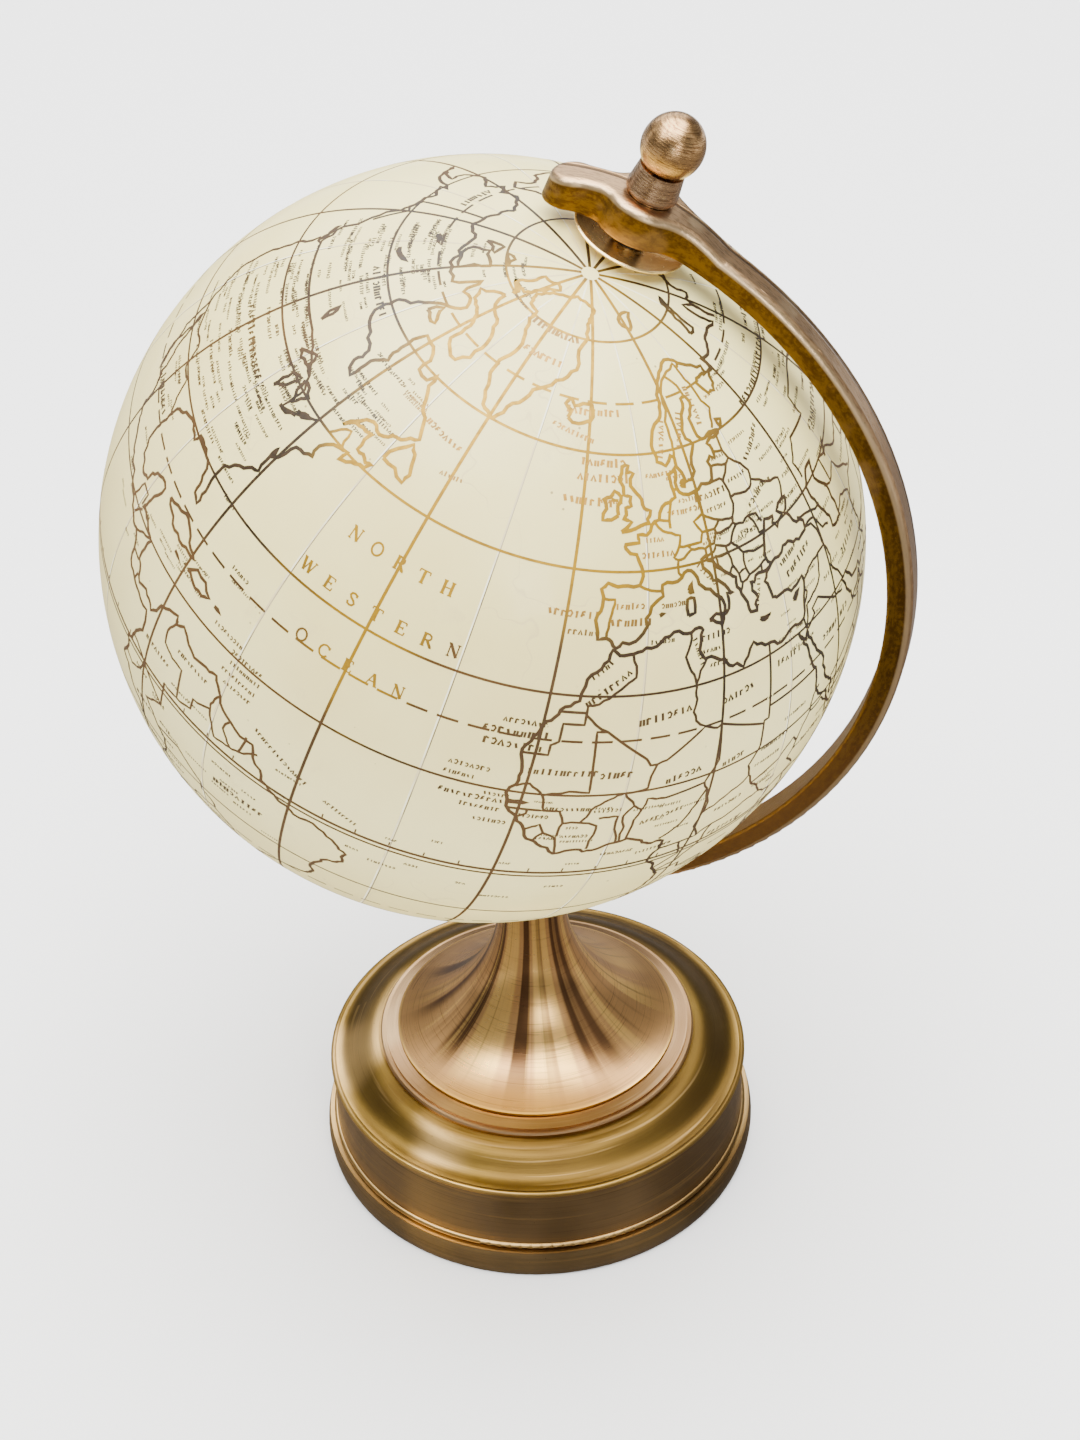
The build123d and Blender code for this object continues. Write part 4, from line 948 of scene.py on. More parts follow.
@dataclass
class Strip:
    """Many narrow flat bands laid on the ball, gathered into one mesh."""

    lay: MapLay
    sunk: float = 0.01 * MM
    apart: float = 0.0015 * MM
    points: list[np.ndarray] = field(default_factory=list)
    faces: list[tuple[int, int, int, int]] = field(default_factory=list)
    count: int = 0

    def run(self, ways: np.ndarray, width: float) -> None:
        """Lays one band.

        Args:
            ways: unit directions along its middle.
            width: its width in metres.
        """
        ahead = np.empty_like(ways)
        ahead[1:-1] = ways[2:] - ways[:-2]
        ahead[0], ahead[-1] = ways[1] - ways[0], ways[-1] - ways[-2]
        side = np.cross(ways, ahead)
        size = np.linalg.norm(side, axis=1, keepdims=True)
        if len(ways) < 2 or (size < 1e-9).any():
            return
        side *= width / 2 / size
        middle = ways * (self.lay.radius - self.sunk + len(self.points) % 5 * self.apart)
        both = np.stack([middle - side, middle + side], 1).reshape(-1, 3)
        first = self.count
        self.points.append(both + np.array(self.lay.centre))
        for i in range(len(ways) - 1):
            a = first + 2 * i
            self.faces.append((a, a + 2, a + 3, a + 1))
        self.count += len(both)

    def piece(self, name: str, height: float, material: bpy.types.Material) -> bpy.types.Object:
        """The bands as one piece of foil.

        Args:
            name: the piece's name.
            height: how far it stands over the paper.
            material: its finish.

        Returns:
            The piece, riding on the globe.
        """
        made = Bencher.from_strips(name, np.concatenate(self.points), self.faces)
        Bencher.modify(made, "SOLIDIFY", thickness=height + self.sunk, offset=1.0)
        bpy.ops.object.shade_smooth_by_angle(angle=math.radians(30.0))
        dress(made, material)
        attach(made, "globe")
        return made


def read_lines(text: str) -> list[np.ndarray]:
    """The "lon lat" corners of each line in a text."""
    return [
        np.array([[float(v) for v in corner.split()] for corner in line.split(",") if corner.strip()])
        for line in text.split(";")
    ]


@dataclass
class Ragged:
    """Gives a plain line the small bends of a drawn coast."""

    rng: random.Random
    finest: float = 1.1
    most_halvings: int = 4
    true_to: float = 0.05

    def roughen(self, line: np.ndarray, share: float, straight_over: float = math.inf) -> np.ndarray:
        """Breaks each run of a line and moves its middles aside.

        Args:
            line: "lon lat" corners.
            share: sideways move, as a share of the run's length.
            straight_over: where it is given, a run longer than this, in degrees, or one that follows a meridian or
                a parallel is a ruled border and stays straight.

        Returns:
            The line with more corners.
        """
        out = [line[0]]
        for start, end in zip(line[:-1], line[1:]):
            squeeze = max(0.15, math.cos(math.radians((start[1] + end[1]) / 2)))
            length = math.hypot((end[0] - start[0]) * squeeze, end[1] - start[1])
            ruled = length > straight_over or min(abs(start - end)) < self.true_to
            bend = 0.0 if ruled and straight_over < math.inf else share
            steps = max(1, min(self.most_halvings, math.ceil(math.log2(max(length, 1e-3) / self.finest))))
            out.extend(self._halve(start, end, bend, squeeze, steps)[1:])
        return np.array(out)

    def _halve(self, a: np.ndarray, b: np.ndarray, share: float, squeeze: float, steps: int) -> list[np.ndarray]:
        """Splits one run in two, again and again.

        Args:
            a: the run's start.
            b: its end.
            share: sideways move of its middle, as a share of its length.
            squeeze: how much shorter a degree of longitude is here.
            steps: how many times it is halved.

        Returns:
            Its corners.
        """
        if steps == 0:
            return [a, b]
        aside = np.array([-(b[1] - a[1]) / squeeze, (b[0] - a[0]) * squeeze])
        middle = (a + b) / 2 + aside * share * self.rng.uniform(-1.0, 1.0)
        first = self._halve(a, middle, share, squeeze, steps - 1)
        return first + self._halve(middle, b, share, squeeze, steps - 1)[1:]


Stroke = tuple[float, tuple[tuple[float, float], ...]]
THICK, THIN = 0.17, 0.075
LETTERS: dict[str, tuple[Stroke, ...]] = {
    "N": (
        (THIN, ((-0.32, 0), (-0.32, 1))), (THICK, ((-0.34, 1), (0.33, 0))), (THIN, ((0.32, 0), (0.32, 1))),
        (THIN, ((-0.46, 1), (-0.26, 1))), (THIN, ((-0.44, 0), (-0.2, 0))), (THIN, ((0.2, 1), (0.44, 1))),
    ),
    "O": ((0.12, tuple((0.42 * math.cos(a * math.pi / 8), 0.5 + 0.5 * math.sin(a * math.pi / 8)) for a in range(17))),),
    "R": (
        (THICK, ((-0.24, 0), (-0.24, 1))), (THIN, ((-0.4, 0), (-0.08, 0))), (THIN, ((-0.38, 1), (-0.2, 1))),
        (0.11, ((-0.24, 0.98), (0.06, 0.98), (0.24, 0.88), (0.28, 0.74), (0.22, 0.58), (0.04, 0.5), (-0.24, 0.5))),
        (THICK, ((0.02, 0.5), (0.4, 0.02))), (THIN, ((0.3, 0), (0.5, 0))),
    ),
    "T": (
        (THICK, ((0, 0), (0, 1))), (THIN, ((-0.4, 0.97), (0.4, 0.97))), (THIN, ((-0.4, 1), (-0.42, 0.76))),
        (THIN, ((0.4, 1), (0.42, 0.76))), (THIN, ((-0.17, 0), (0.17, 0))),
    ),
    "H": (
        (THICK, ((-0.3, 0), (-0.3, 1))), (THICK, ((0.3, 0), (0.3, 1))), (THIN, ((-0.3, 0.52), (0.3, 0.52))),
        (THIN, ((-0.46, 0), (-0.14, 0))), (THIN, ((-0.46, 1), (-0.14, 1))), (THIN, ((0.14, 0), (0.46, 0))),
        (THIN, ((0.14, 1), (0.46, 1))),
    ),
    "W": (
        (THICK, ((-0.5, 1), (-0.24, 0))), (THIN, ((-0.24, 0), (0, 0.9))), (THICK, ((0, 1), (0.26, 0))),
        (THIN, ((0.26, 0), (0.5, 1))), (THIN, ((-0.64, 1), (-0.36, 1))), (THIN, ((0.38, 1), (0.62, 1))),
    ),
    "E": (
        (THICK, ((-0.22, 0), (-0.22, 1))), (THIN, ((-0.38, 0.98), (0.3, 0.98))), (THIN, ((-0.38, 0.02), (0.34, 0.02))),
        (THIN, ((-0.22, 0.52), (0.14, 0.52))), (THIN, ((0.3, 1), (0.32, 0.78))), (THIN, ((0.33, 0), (0.37, 0.26))),
        (THIN, ((0.14, 0.62), (0.14, 0.4))),
    ),
    "S": (
        (0.13, ((0.26, 0.76), (0.2, 0.92), (0, 0.99), (-0.2, 0.92), (-0.27, 0.76), (-0.16, 0.6), (0.14, 0.42),
                (0.28, 0.24), (0.18, 0.06), (-0.04, 0.01), (-0.22, 0.07), (-0.29, 0.26))),
        (THIN, ((0.27, 0.98), (0.26, 0.74))),
    ),
    "C": (
        (0.12, ((0.36, 0.76), (0.22, 0.94), (0, 1), (-0.24, 0.9), (-0.38, 0.66), (-0.4, 0.42), (-0.3, 0.16),
                (-0.08, 0.01), (0.16, 0.04), (0.36, 0.22))),
        (THIN, ((0.37, 0.98), (0.36, 0.74))),
    ),
    "A": (
        (THIN, ((-0.36, 0), (0, 1))), (THICK, ((0, 1), (0.36, 0))), (THIN, ((-0.22, 0.34), (0.24, 0.34))),
        (THIN, ((-0.48, 0), (-0.24, 0))), (THIN, ((0.22, 0), (0.5, 0))),
    ),
}
MARKS: tuple[tuple[Stroke, ...], ...] = (
    ((0.2, ((0, 0), (0, 1))),),
    ((0.2, ((-0.2, 0), (-0.2, 0.8))), (0.15, ((-0.2, 0.8), (0.25, 0.66)))),
    ((0.17, ((-0.25, 0.7), (0.05, 0.85), (0.28, 0.55), (0.1, 0.1), (-0.2, 0.15))),),
    ((0.2, ((-0.22, 0), (-0.16, 0.8))), (0.2, ((0.2, 0), (0.22, 0.8)))),
    ((0.2, ((-0.3, 0.05), (0, 0.8), (0.3, 0.02))),),
    ((0.16, ((-0.2, 0.8), (0.2, 0.85))), (0.2, ((0.02, 0.8), (-0.02, 0)))),
    ((0.18, ((-0.25, 0.15), (-0.1, 0.75), (0.2, 0.8))), (0.15, ((-0.15, 0.4), (0.15, 0.42)))),
    ((0.22, ((0.1, 0.1), (-0.12, 0.8))),),
)


@dataclass(frozen=True)
class NameRow:
    """A row of small unlettered marks that stands for a printed name."""

    lon: float
    lat: float
    cells: int
    size: float = 1.25
    lean: float = 0.0


@dataclass(frozen=True)
class NameField:
    """A stretch of land filled with short rows along its parallels."""

    west: float
    east: float
    south: float
    north: float
    rows: int
    size: float = 1.0


@dataclass
class PrintedMap:
    """The foil print: graticule, coasts, borders, names and the ocean's letters."""

    lay: MapLay
    foil: bpy.types.Material
    ink: bpy.types.Material
    pale: bpy.types.Material
    dark_joint_shadow_finish: bpy.types.Material
    seed: int = 7
    line_w: float = 0.64 * MM
    bold_w: float = 0.78 * MM
    coast_w: float = 0.92 * MM
    border_w: float = 0.70 * MM
    grid_h: float = 0.030 * MM
    coast_h: float = 0.045 * MM
    border_h: float = 0.038 * MM
    names_h: float = 0.032 * MM
    letters_h: float = 0.036 * MM
    gore_deg: int = 30
    grid_deg: int = 15
    tick_deg: int = 5
    tick_lats: tuple[float, float] = (0.3, 1.0)
    tick_share: float = 0.6
    last_parallel: int = 75
    pole_stop: float = 88.4
    parallel_step: float = 1.5
    meridian_points: int = 121
    equator_bold: float = 1.15
    equator_twin: float = -1.0
    circles: tuple[float, ...] = (-66.5, -23.5, 23.5, 66.5)
    dash_deg: float = 3.0
    gap_deg: float = 1.3
    coast_bend: float = 0.17
    border_bend: float = 0.10
    ruled_over: float = 5.0
    mark_pitch: float = 0.86
    mark_weight: float = 1.6
    letter_size: float = 3.1 * MM
    letter_weight: float = 1.35

    def build(self) -> list[bpy.types.Object]:
        """Makes all the print's pieces.

        Returns:
            The pieces, in the order they are laid.
        """
        self.rng = random.Random(self.seed)
        self.rough = Ragged(self.rng)
        return [
            self.graticule(),
            self.coasts(),
            self.borders(),
            self.names(),
            self.ocean(),
            # Pale line: the gore's cut with a painted highlight. Dark line beside it: the joint with a painted shadow.
            self.joints("gore_joints_pale", aside=0.0, width=0.36 * MM, material=self.pale, height=0.022 * MM),
            self.joints("gore_joints_dark", aside=0.24, width=0.24 * MM, material=self.dark_joint_shadow_finish, height=0.018 * MM),
        ]

    def _parallel(self, strip: Strip, lat: float, width: float, west: float = -180.0, east: float = 180.0) -> None:
        """Lays part of a parallel.

        Args:
            strip: what it is laid into.
            lat: its latitude.
            width: the line's width.
            west: where it starts.
            east: where it ends.
        """
        count = max(2, round((east - west) / self.parallel_step) + 1)
        lon = np.linspace(west, east, count)
        strip.run(self.lay.way(lon, np.full(count, lat)), width)

    def _meridian(self, strip: Strip, lon: float, width: float) -> None:
        """Lays a meridian, short of both poles."""
        lat = np.linspace(-self.pole_stop, self.pole_stop, self.meridian_points)
        strip.run(self.lay.way(np.full(len(lat), lon), lat), width)

    def graticule(self) -> bpy.types.Object:
        """The meridians and parallels, the equator's double line and the dashed circles.

        Returns:
            The piece.
        """
        strip = Strip(self.lay)
        for lon in range(-180, 180, self.grid_deg):
            if lon % self.gore_deg:
                self._meridian(strip, lon, self.bold_w)
        for lat in range(-self.last_parallel, self.last_parallel + 1, self.grid_deg):
            if lat:
                self._parallel(strip, lat, self.line_w)
        for lat, width in ((0.0, self.bold_w * self.equator_bold), (self.equator_twin, self.line_w)):
            self._parallel(strip, lat, width)
        for lon in range(-180, 180, self.tick_deg):
            strip.run(self.lay.way(np.array([lon, lon]), np.array(self.tick_lats)), self.line_w * self.tick_share)
        for lat in self.circles:
            squeeze = math.cos(math.radians(lat))
            dash, gap = self.dash_deg / squeeze, self.gap_deg / squeeze
            count = round(360 / (dash + gap))
            for i in range(count):
                west = -180 + i * 360 / count
                self._parallel(strip, lat, self.line_w, west, west + dash)
        return strip.piece("map_graticule", self.grid_h, self.foil)

    def coasts(self) -> bpy.types.Object:
        """The coastlines.

        Returns:
            The piece.
        """
        strip = Strip(self.lay)
        for land in Land:
            for line in read_lines(land.value):
                drawn = self.rough.roughen(line, self.coast_bend)
                strip.run(self.lay.way(drawn[:, 0], drawn[:, 1]), self.coast_w)
        return strip.piece("map_coasts", self.coast_h, self.foil)

    def borders(self) -> bpy.types.Object:
        """The land borders.

        Returns:
            The piece.
        """
        strip = Strip(self.lay)
        for group in Frontier:
            for line in read_lines(group.value):
                drawn = self.rough.roughen(line, self.border_bend, self.ruled_over)
                strip.run(self.lay.way(drawn[:, 0], drawn[:, 1]), self.border_w)
        return strip.piece("map_borders", self.border_h, self.foil)

    def _write(
        self, strip: Strip, lon: float, lat: float, strokes: Sequence[Stroke], size: float, lean: float, weight: float
    ) -> None:
        """Lays one letter or mark upright on its parallel.

        Args:
            strip: what it is laid into.
            lon: its middle.
            lat: its foot.
            strokes: its strokes, in heights of the letter.
            size: its height in metres.
            lean: turn from upright, in degrees.
            weight: how heavy its strokes are.
        """
        foot = self.lay.way(lon, lat)
        north = self.lay.way(lon, lat + 1.0) - foot
        north /= np.linalg.norm(north)
        east = np.cross(north, foot)
        turn = math.radians(lean)
        right = east * math.cos(turn) + north * math.sin(turn)
        up = north * math.cos(turn) - east * math.sin(turn)
        for width, corners in strokes:
            flat = [foot + (right * x + up * y) * (size / self.lay.radius) for x, y in corners]
            ways = np.array(flat)
            ways /= np.linalg.norm(ways, axis=1, keepdims=True)
            strip.run(ways, width * size * weight)

    def _row(self, strip: Strip, row: NameRow) -> None:
        """Lays one row of unlettered marks, centred on its place.

        Args:
            strip: what it is laid into.
            row: the row's place, length and size.
        """
        size = row.size * MM
        pitch = math.degrees(size * self.mark_pitch / self.lay.radius)
        along = math.cos(math.radians(row.lean))
        squeeze = max(0.2, math.cos(math.radians(row.lat)))
        for i in range(row.cells):
            step = (i - (row.cells - 1) / 2) * pitch
            lon = row.lon + step * along / squeeze
            lat = row.lat + step * math.sin(math.radians(row.lean))
            mark = self.rng.choice(MARKS)
            self._write(strip, lon, lat, mark, size * self.rng.uniform(0.85, 1.05), row.lean, self.mark_weight)

    def names(self) -> bpy.types.Object:
        """The rows of marks over the lands.

        Returns:
            The piece.
        """
        strip = Strip(self.lay)
        for row in NAME_ROWS:
            self._row(strip, row)
        for area in NAME_FIELDS:
            for _ in range(area.rows):
                lon = self.rng.uniform(area.west, area.east)
                lat = self.rng.uniform(area.south, area.north)
                cells = self.rng.randint(4, 11)
                self._row(strip, NameRow(lon, lat, cells, area.size * self.rng.uniform(0.75, 1.2)))
        return strip.piece("map_names", self.names_h, self.ink)

    def ocean(self) -> bpy.types.Object:
        """The ocean's wide-spaced letters.

        Returns:
            The piece.
        """
        strip = Strip(self.lay)
        for word, lat, west, east in (
            ("NORTH", 38.0, -54.4, -36.0),
            ("WESTERN", 31.4, -58.0, -31.4),
            ("OCEAN", 23.6, -53.2, -36.8),
        ):
            for i, letter in enumerate(word):
                lon = west + (east - west) * i / (len(word) - 1)
                self._write(strip, lon, lat, LETTERS[letter], self.letter_size, 0.0, self.letter_weight)
        return strip.piece("map_ocean_letters", self.letters_h, self.foil)

    def joints(self, name: str, aside: float, width: float, material: bpy.types.Material, height: float) -> Any:
        """The gores' cut edges: the pale line is the cut with a painted highlight, the dark line beside it the joint
        with a painted shadow.

        Args:
            name: the piece's name.
            aside: degrees of longitude off the joint.
            width: the line's width.
            material: its finish.
            height: how far it stands over the paper.

        Returns:
            The piece.
        """
        strip = Strip(self.lay)
        for lon in range(-180, 180, self.gore_deg):
            self._meridian(strip, lon + aside, width)
        return strip.piece(name, height, material)


NAME_ROWS: tuple[NameRow, ...] = tuple(
    NameRow(*row)
    for row in (
        (-3.2, 38.6, 6, 2.1), (-3.4, 40.6, 6, 1.5), (-13.8, 39.4, 8, 1.9), (-11.6, 37.4, 6, 1.5),
        (-5.4, 30.6, 8, 1.9, 38), (-7, 33, 5, 1.5, 38), (4.6, 26, 8, 2.1, 8), (18.1, 26.2, 6, 2.0, 6),
        (-10.2, 18.2, 11, 1.9), (-2, 17.7, 5, 2.1), (9.4, 15.8, 6, 2.0, 8), (18.5, 15.6, 5, 1.7, 8),
        (-17.6, 25.2, 8, 1.6), (-18.6, 23.4, 9, 2.1), (-18.6, 21.6, 8, 2.1), (-23.6, 17.4, 8, 1.5),
        (-24.6, 15.8, 7, 1.3), (-22, 12.8, 11, 1.7), (-20.4, 11.4, 8, 1.5), (-18.6, 13.8, 6, 1.3),
        (-18.4, 9.4, 7, 1.4), (-12.6, 11, 7, 1.3), (-8, 12.4, 9, 1.5), (-1.8, 12, 7, 1.3), (-5.6, 7.6, 7, 1.2),
        (-9.8, 7.2, 5, 1.2), (7.6, 9.4, 9, 1.6, 10), (2.2, 3.4, 9, 1.2), (8.4, 2.6, 10, 1.2, 6),
        (20.2, 6.8, 8, 1.3, 8), (22.4, 0.6, 8, 1.8), (27.6, 14.4, 7, 1.8), (29.6, 27.4, 6, 1.9), (39, 9, 8, 1.6),
        (33, -6, 8, 1.5), (18, -12, 7, 1.8), (16.8, 62, 7, 1.5, 62), (9.6, 61.4, 7, 1.6, 68), (26.4, 64.2, 7, 1.6, 80),
        (9.6, 56.2, 5, 1.1), (5.4, 56.8, 7, 1.3), (18.6, 52.6, 7, 1.7), (19.2, 50.8, 6, 1.3), (10.4, 51.6, 8, 1.5),
        (12, 53, 6, 1.1), (2.6, 46.6, 7, 1.5), (2, 48.6, 5, 1.2), (-10.4, 58.3, 7, 2.0), (-10.2, 56.3, 8, 2.0),
        (-13.6, 53.2, 8, 2.0), (-8, 53.6, 6, 1.2), (-18.6, 64.6, 5, 1.9), (-9.4, 64.8, 5, 1.9),
        (-20.4, 61.8, 9, 1.5, -12), (12.6, 43.2, 6, 1.4, -48), (13.6, 35.4, 6, 1.7), (12.6, 33.8, 7, 1.3),
        (5.2, 40.4, 6, 1.3), (36.6, 38.6, 7, 2.0, 12), (34, 40.2, 6, 1.6, 12), (31.6, 49.6, 6, 1.6, 20),
        (38.4, 55.6, 8, 1.7, 24), (28, 53.2, 6, 1.3), (25, 46, 6, 1.3), (24.4, 56.8, 6, 1.1), (9.6, 34.2, 6, 1.4, -70),
        (3, 36.2, 6, 1.3), (14, 31.8, 5, 1.3), (24.6, 38.6, 6, 1.3, 70), (44, 25, 9, 2.0), (54, 32.6, 7, 2.0),
        (44, 33, 5, 1.4), (60, 60, 16, 2.1), (96, 62, 14, 2.1), (134, 64, 12, 2.1), (104, 35, 9, 2.1),
        (79, 22, 8, 2.1), (67, 48, 10, 2.0), (104, 46.6, 8, 1.8), (134, -25, 12, 2.1), (-100, 58, 10, 2.1),
        (-100, 40, 14, 2.1), (-103, 24, 8, 2.0), (-53, -9, 9, 2.1), (-65, -36, 10, 1.9), (-74.6, -10, 5, 1.8),
        (-73, 4, 8, 1.6), (-66, 8, 9, 1.5), (-42, 74, 10, 2.1), (-41, 70, 8, 2.0), (-152, 65, 7, 1.9),
        (-52, 54.4, 8, 1.7, -8), (-45, 50.6, 6, 1.2, 6), (-75.6, 29.6, 5, 1.2), (-66.4, 24.4, 6, 1.2),
        (-63, 16.6, 9, 1.3), (-58.4, 15.2, 9, 1.3), (-58, 13.7, 9, 1.3), (-58.4, 12.1, 10, 1.3), (-58, 10.6, 8, 1.3),
        (-48.6, 6, 14, 1.5, -20), (-38, 2.4, 9, 1.3, -18), (-34.6, -4.2, 4, 1.1), (-30, -5.6, 8, 1.1),
        (-26, -3.4, 4, 1.1), (-18.4, -5.4, 3, 1.1), (-12.6, -8.6, 8, 1.1), (-4.8, -4.6, 5, 1.2), (-24, 3.6, 4, 0.9),
        (-30, 1.4, 4, 0.9), (-14, 1.6, 5, 0.9), (-4, 1.8, 5, 0.9),
    )
)
NAME_FIELDS: tuple[NameField, ...] = tuple(
    NameField(*row)
    for row in (
        (-122, -80, 31, 49, 120), (-128, -96, 50, 67, 60, 0.9), (-78, -62, 47, 58, 24, 0.9), (-108, -98, 18, 29, 8),
        (-100, -82, 10, 17, 8, 0.8), (-84, -64, 14, 24, 12, 0.8), (-76, -44, -20, 4, 22), (-70, -56, -40, -22, 8),
        (-120, -70, 70, 79, 10, 0.9), (32, 60, 44, 66, 22), (62, 140, 46, 70, 54), (78, 120, 22, 44, 30),
        (70, 88, 12, 28, 12), (44, 70, 26, 42, 14), (95, 150, -9, 20, 26, 0.9), (14, 36, -32, -2, 26),
        (24, 46, 0, 30, 18), (115, 150, -36, -16, 18), (-12, 14, 6, 14, 12, 0.8), (14, 30, 42, 50, 12, 0.7),
        (28, 40, 30, 37, 8, 0.7), (-170, -130, -30, 30, 14, 0.8), (150, 178, -25, 15, 14, 0.8),
        (60, 95, -45, 5, 10, 0.8),
    )
)


# ---------------------------------------------------------------- the ball
@dataclass
class GlobeBall:
    """The papered ball: a smooth skin over the gores, with a hole at each pole, and the parts inside it."""

    lay: MapLay
    paper: bpy.types.Material
    segments: int = 240
    rings: int = 120
    hole_r: float = 4.0 * MM
    paper_t: float = 0.3 * MM

    def skin(self) -> bpy.types.Object:
        """The printed paper, as one piece over all the gores.

        Returns:
            The piece, riding on the globe.
        """
        Bencher.clear()
        lean = self.lay.spindle.to_track_quat("Z", "Y").to_euler()
        bpy.ops.mesh.primitive_uv_sphere_add(
            segments=self.segments,
            ring_count=self.rings,
            radius=self.lay.radius,
            location=self.lay.centre,
            rotation=lean,
        )
        skin = bpy.context.object
        skin.name = skin.data.name = "map_skin"
        Bencher.settle(skin)
        for vertex in skin.data.vertices:
            out = vertex.co - self.lay.centre
            off = (out - self.lay.spindle * out.dot(self.lay.spindle)).length
            vertex.select = off < self.hole_r
        for part in (*skin.data.edges, *skin.data.polygons):
            part.select = False
        bpy.ops.object.mode_set(mode="EDIT")
        bpy.ops.mesh.delete(type="VERT")
        bpy.ops.object.mode_set(mode="OBJECT")
        Bencher.modify(skin, "SOLIDIFY", thickness=self.paper_t, offset=-1.0)
        Bencher.take(skin)
        bpy.ops.object.shade_smooth_by_angle(angle=math.radians(40.0))
        dress(skin, self.paper)
        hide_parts("map_gores")
        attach(skin, "globe")
        return skin

    def dress_inside(self) -> None:
        """Dresses the shells, the hoop, the tube and the bushings."""
        board = Plain("moulded_board", (0.36, 0.31, 0.24), (0.28, 0.23, 0.17), 180.0, 0.75).make()
        for node in ("globe_shell_north", "globe_shell_south", "equator_hoop"):
            dress(bpy.data.objects[node], board)
        tube = Plain("drawn_tube", (0.55, 0.53, 0.50), (0.40, 0.38, 0.35), 400.0, 0.3, 1.0).make()
        dress(bpy.data.objects["axle_tube"], tube)
        nylon = Plain("bushing", (0.045, 0.04, 0.036), (0.07, 0.062, 0.055), 700.0, 0.4).make()
        for node in ("bushing_north", "bushing_south"):
            dress(bpy.data.objects[node], nylon)
        dress(bpy.data.objects["map_gores"], self.paper)


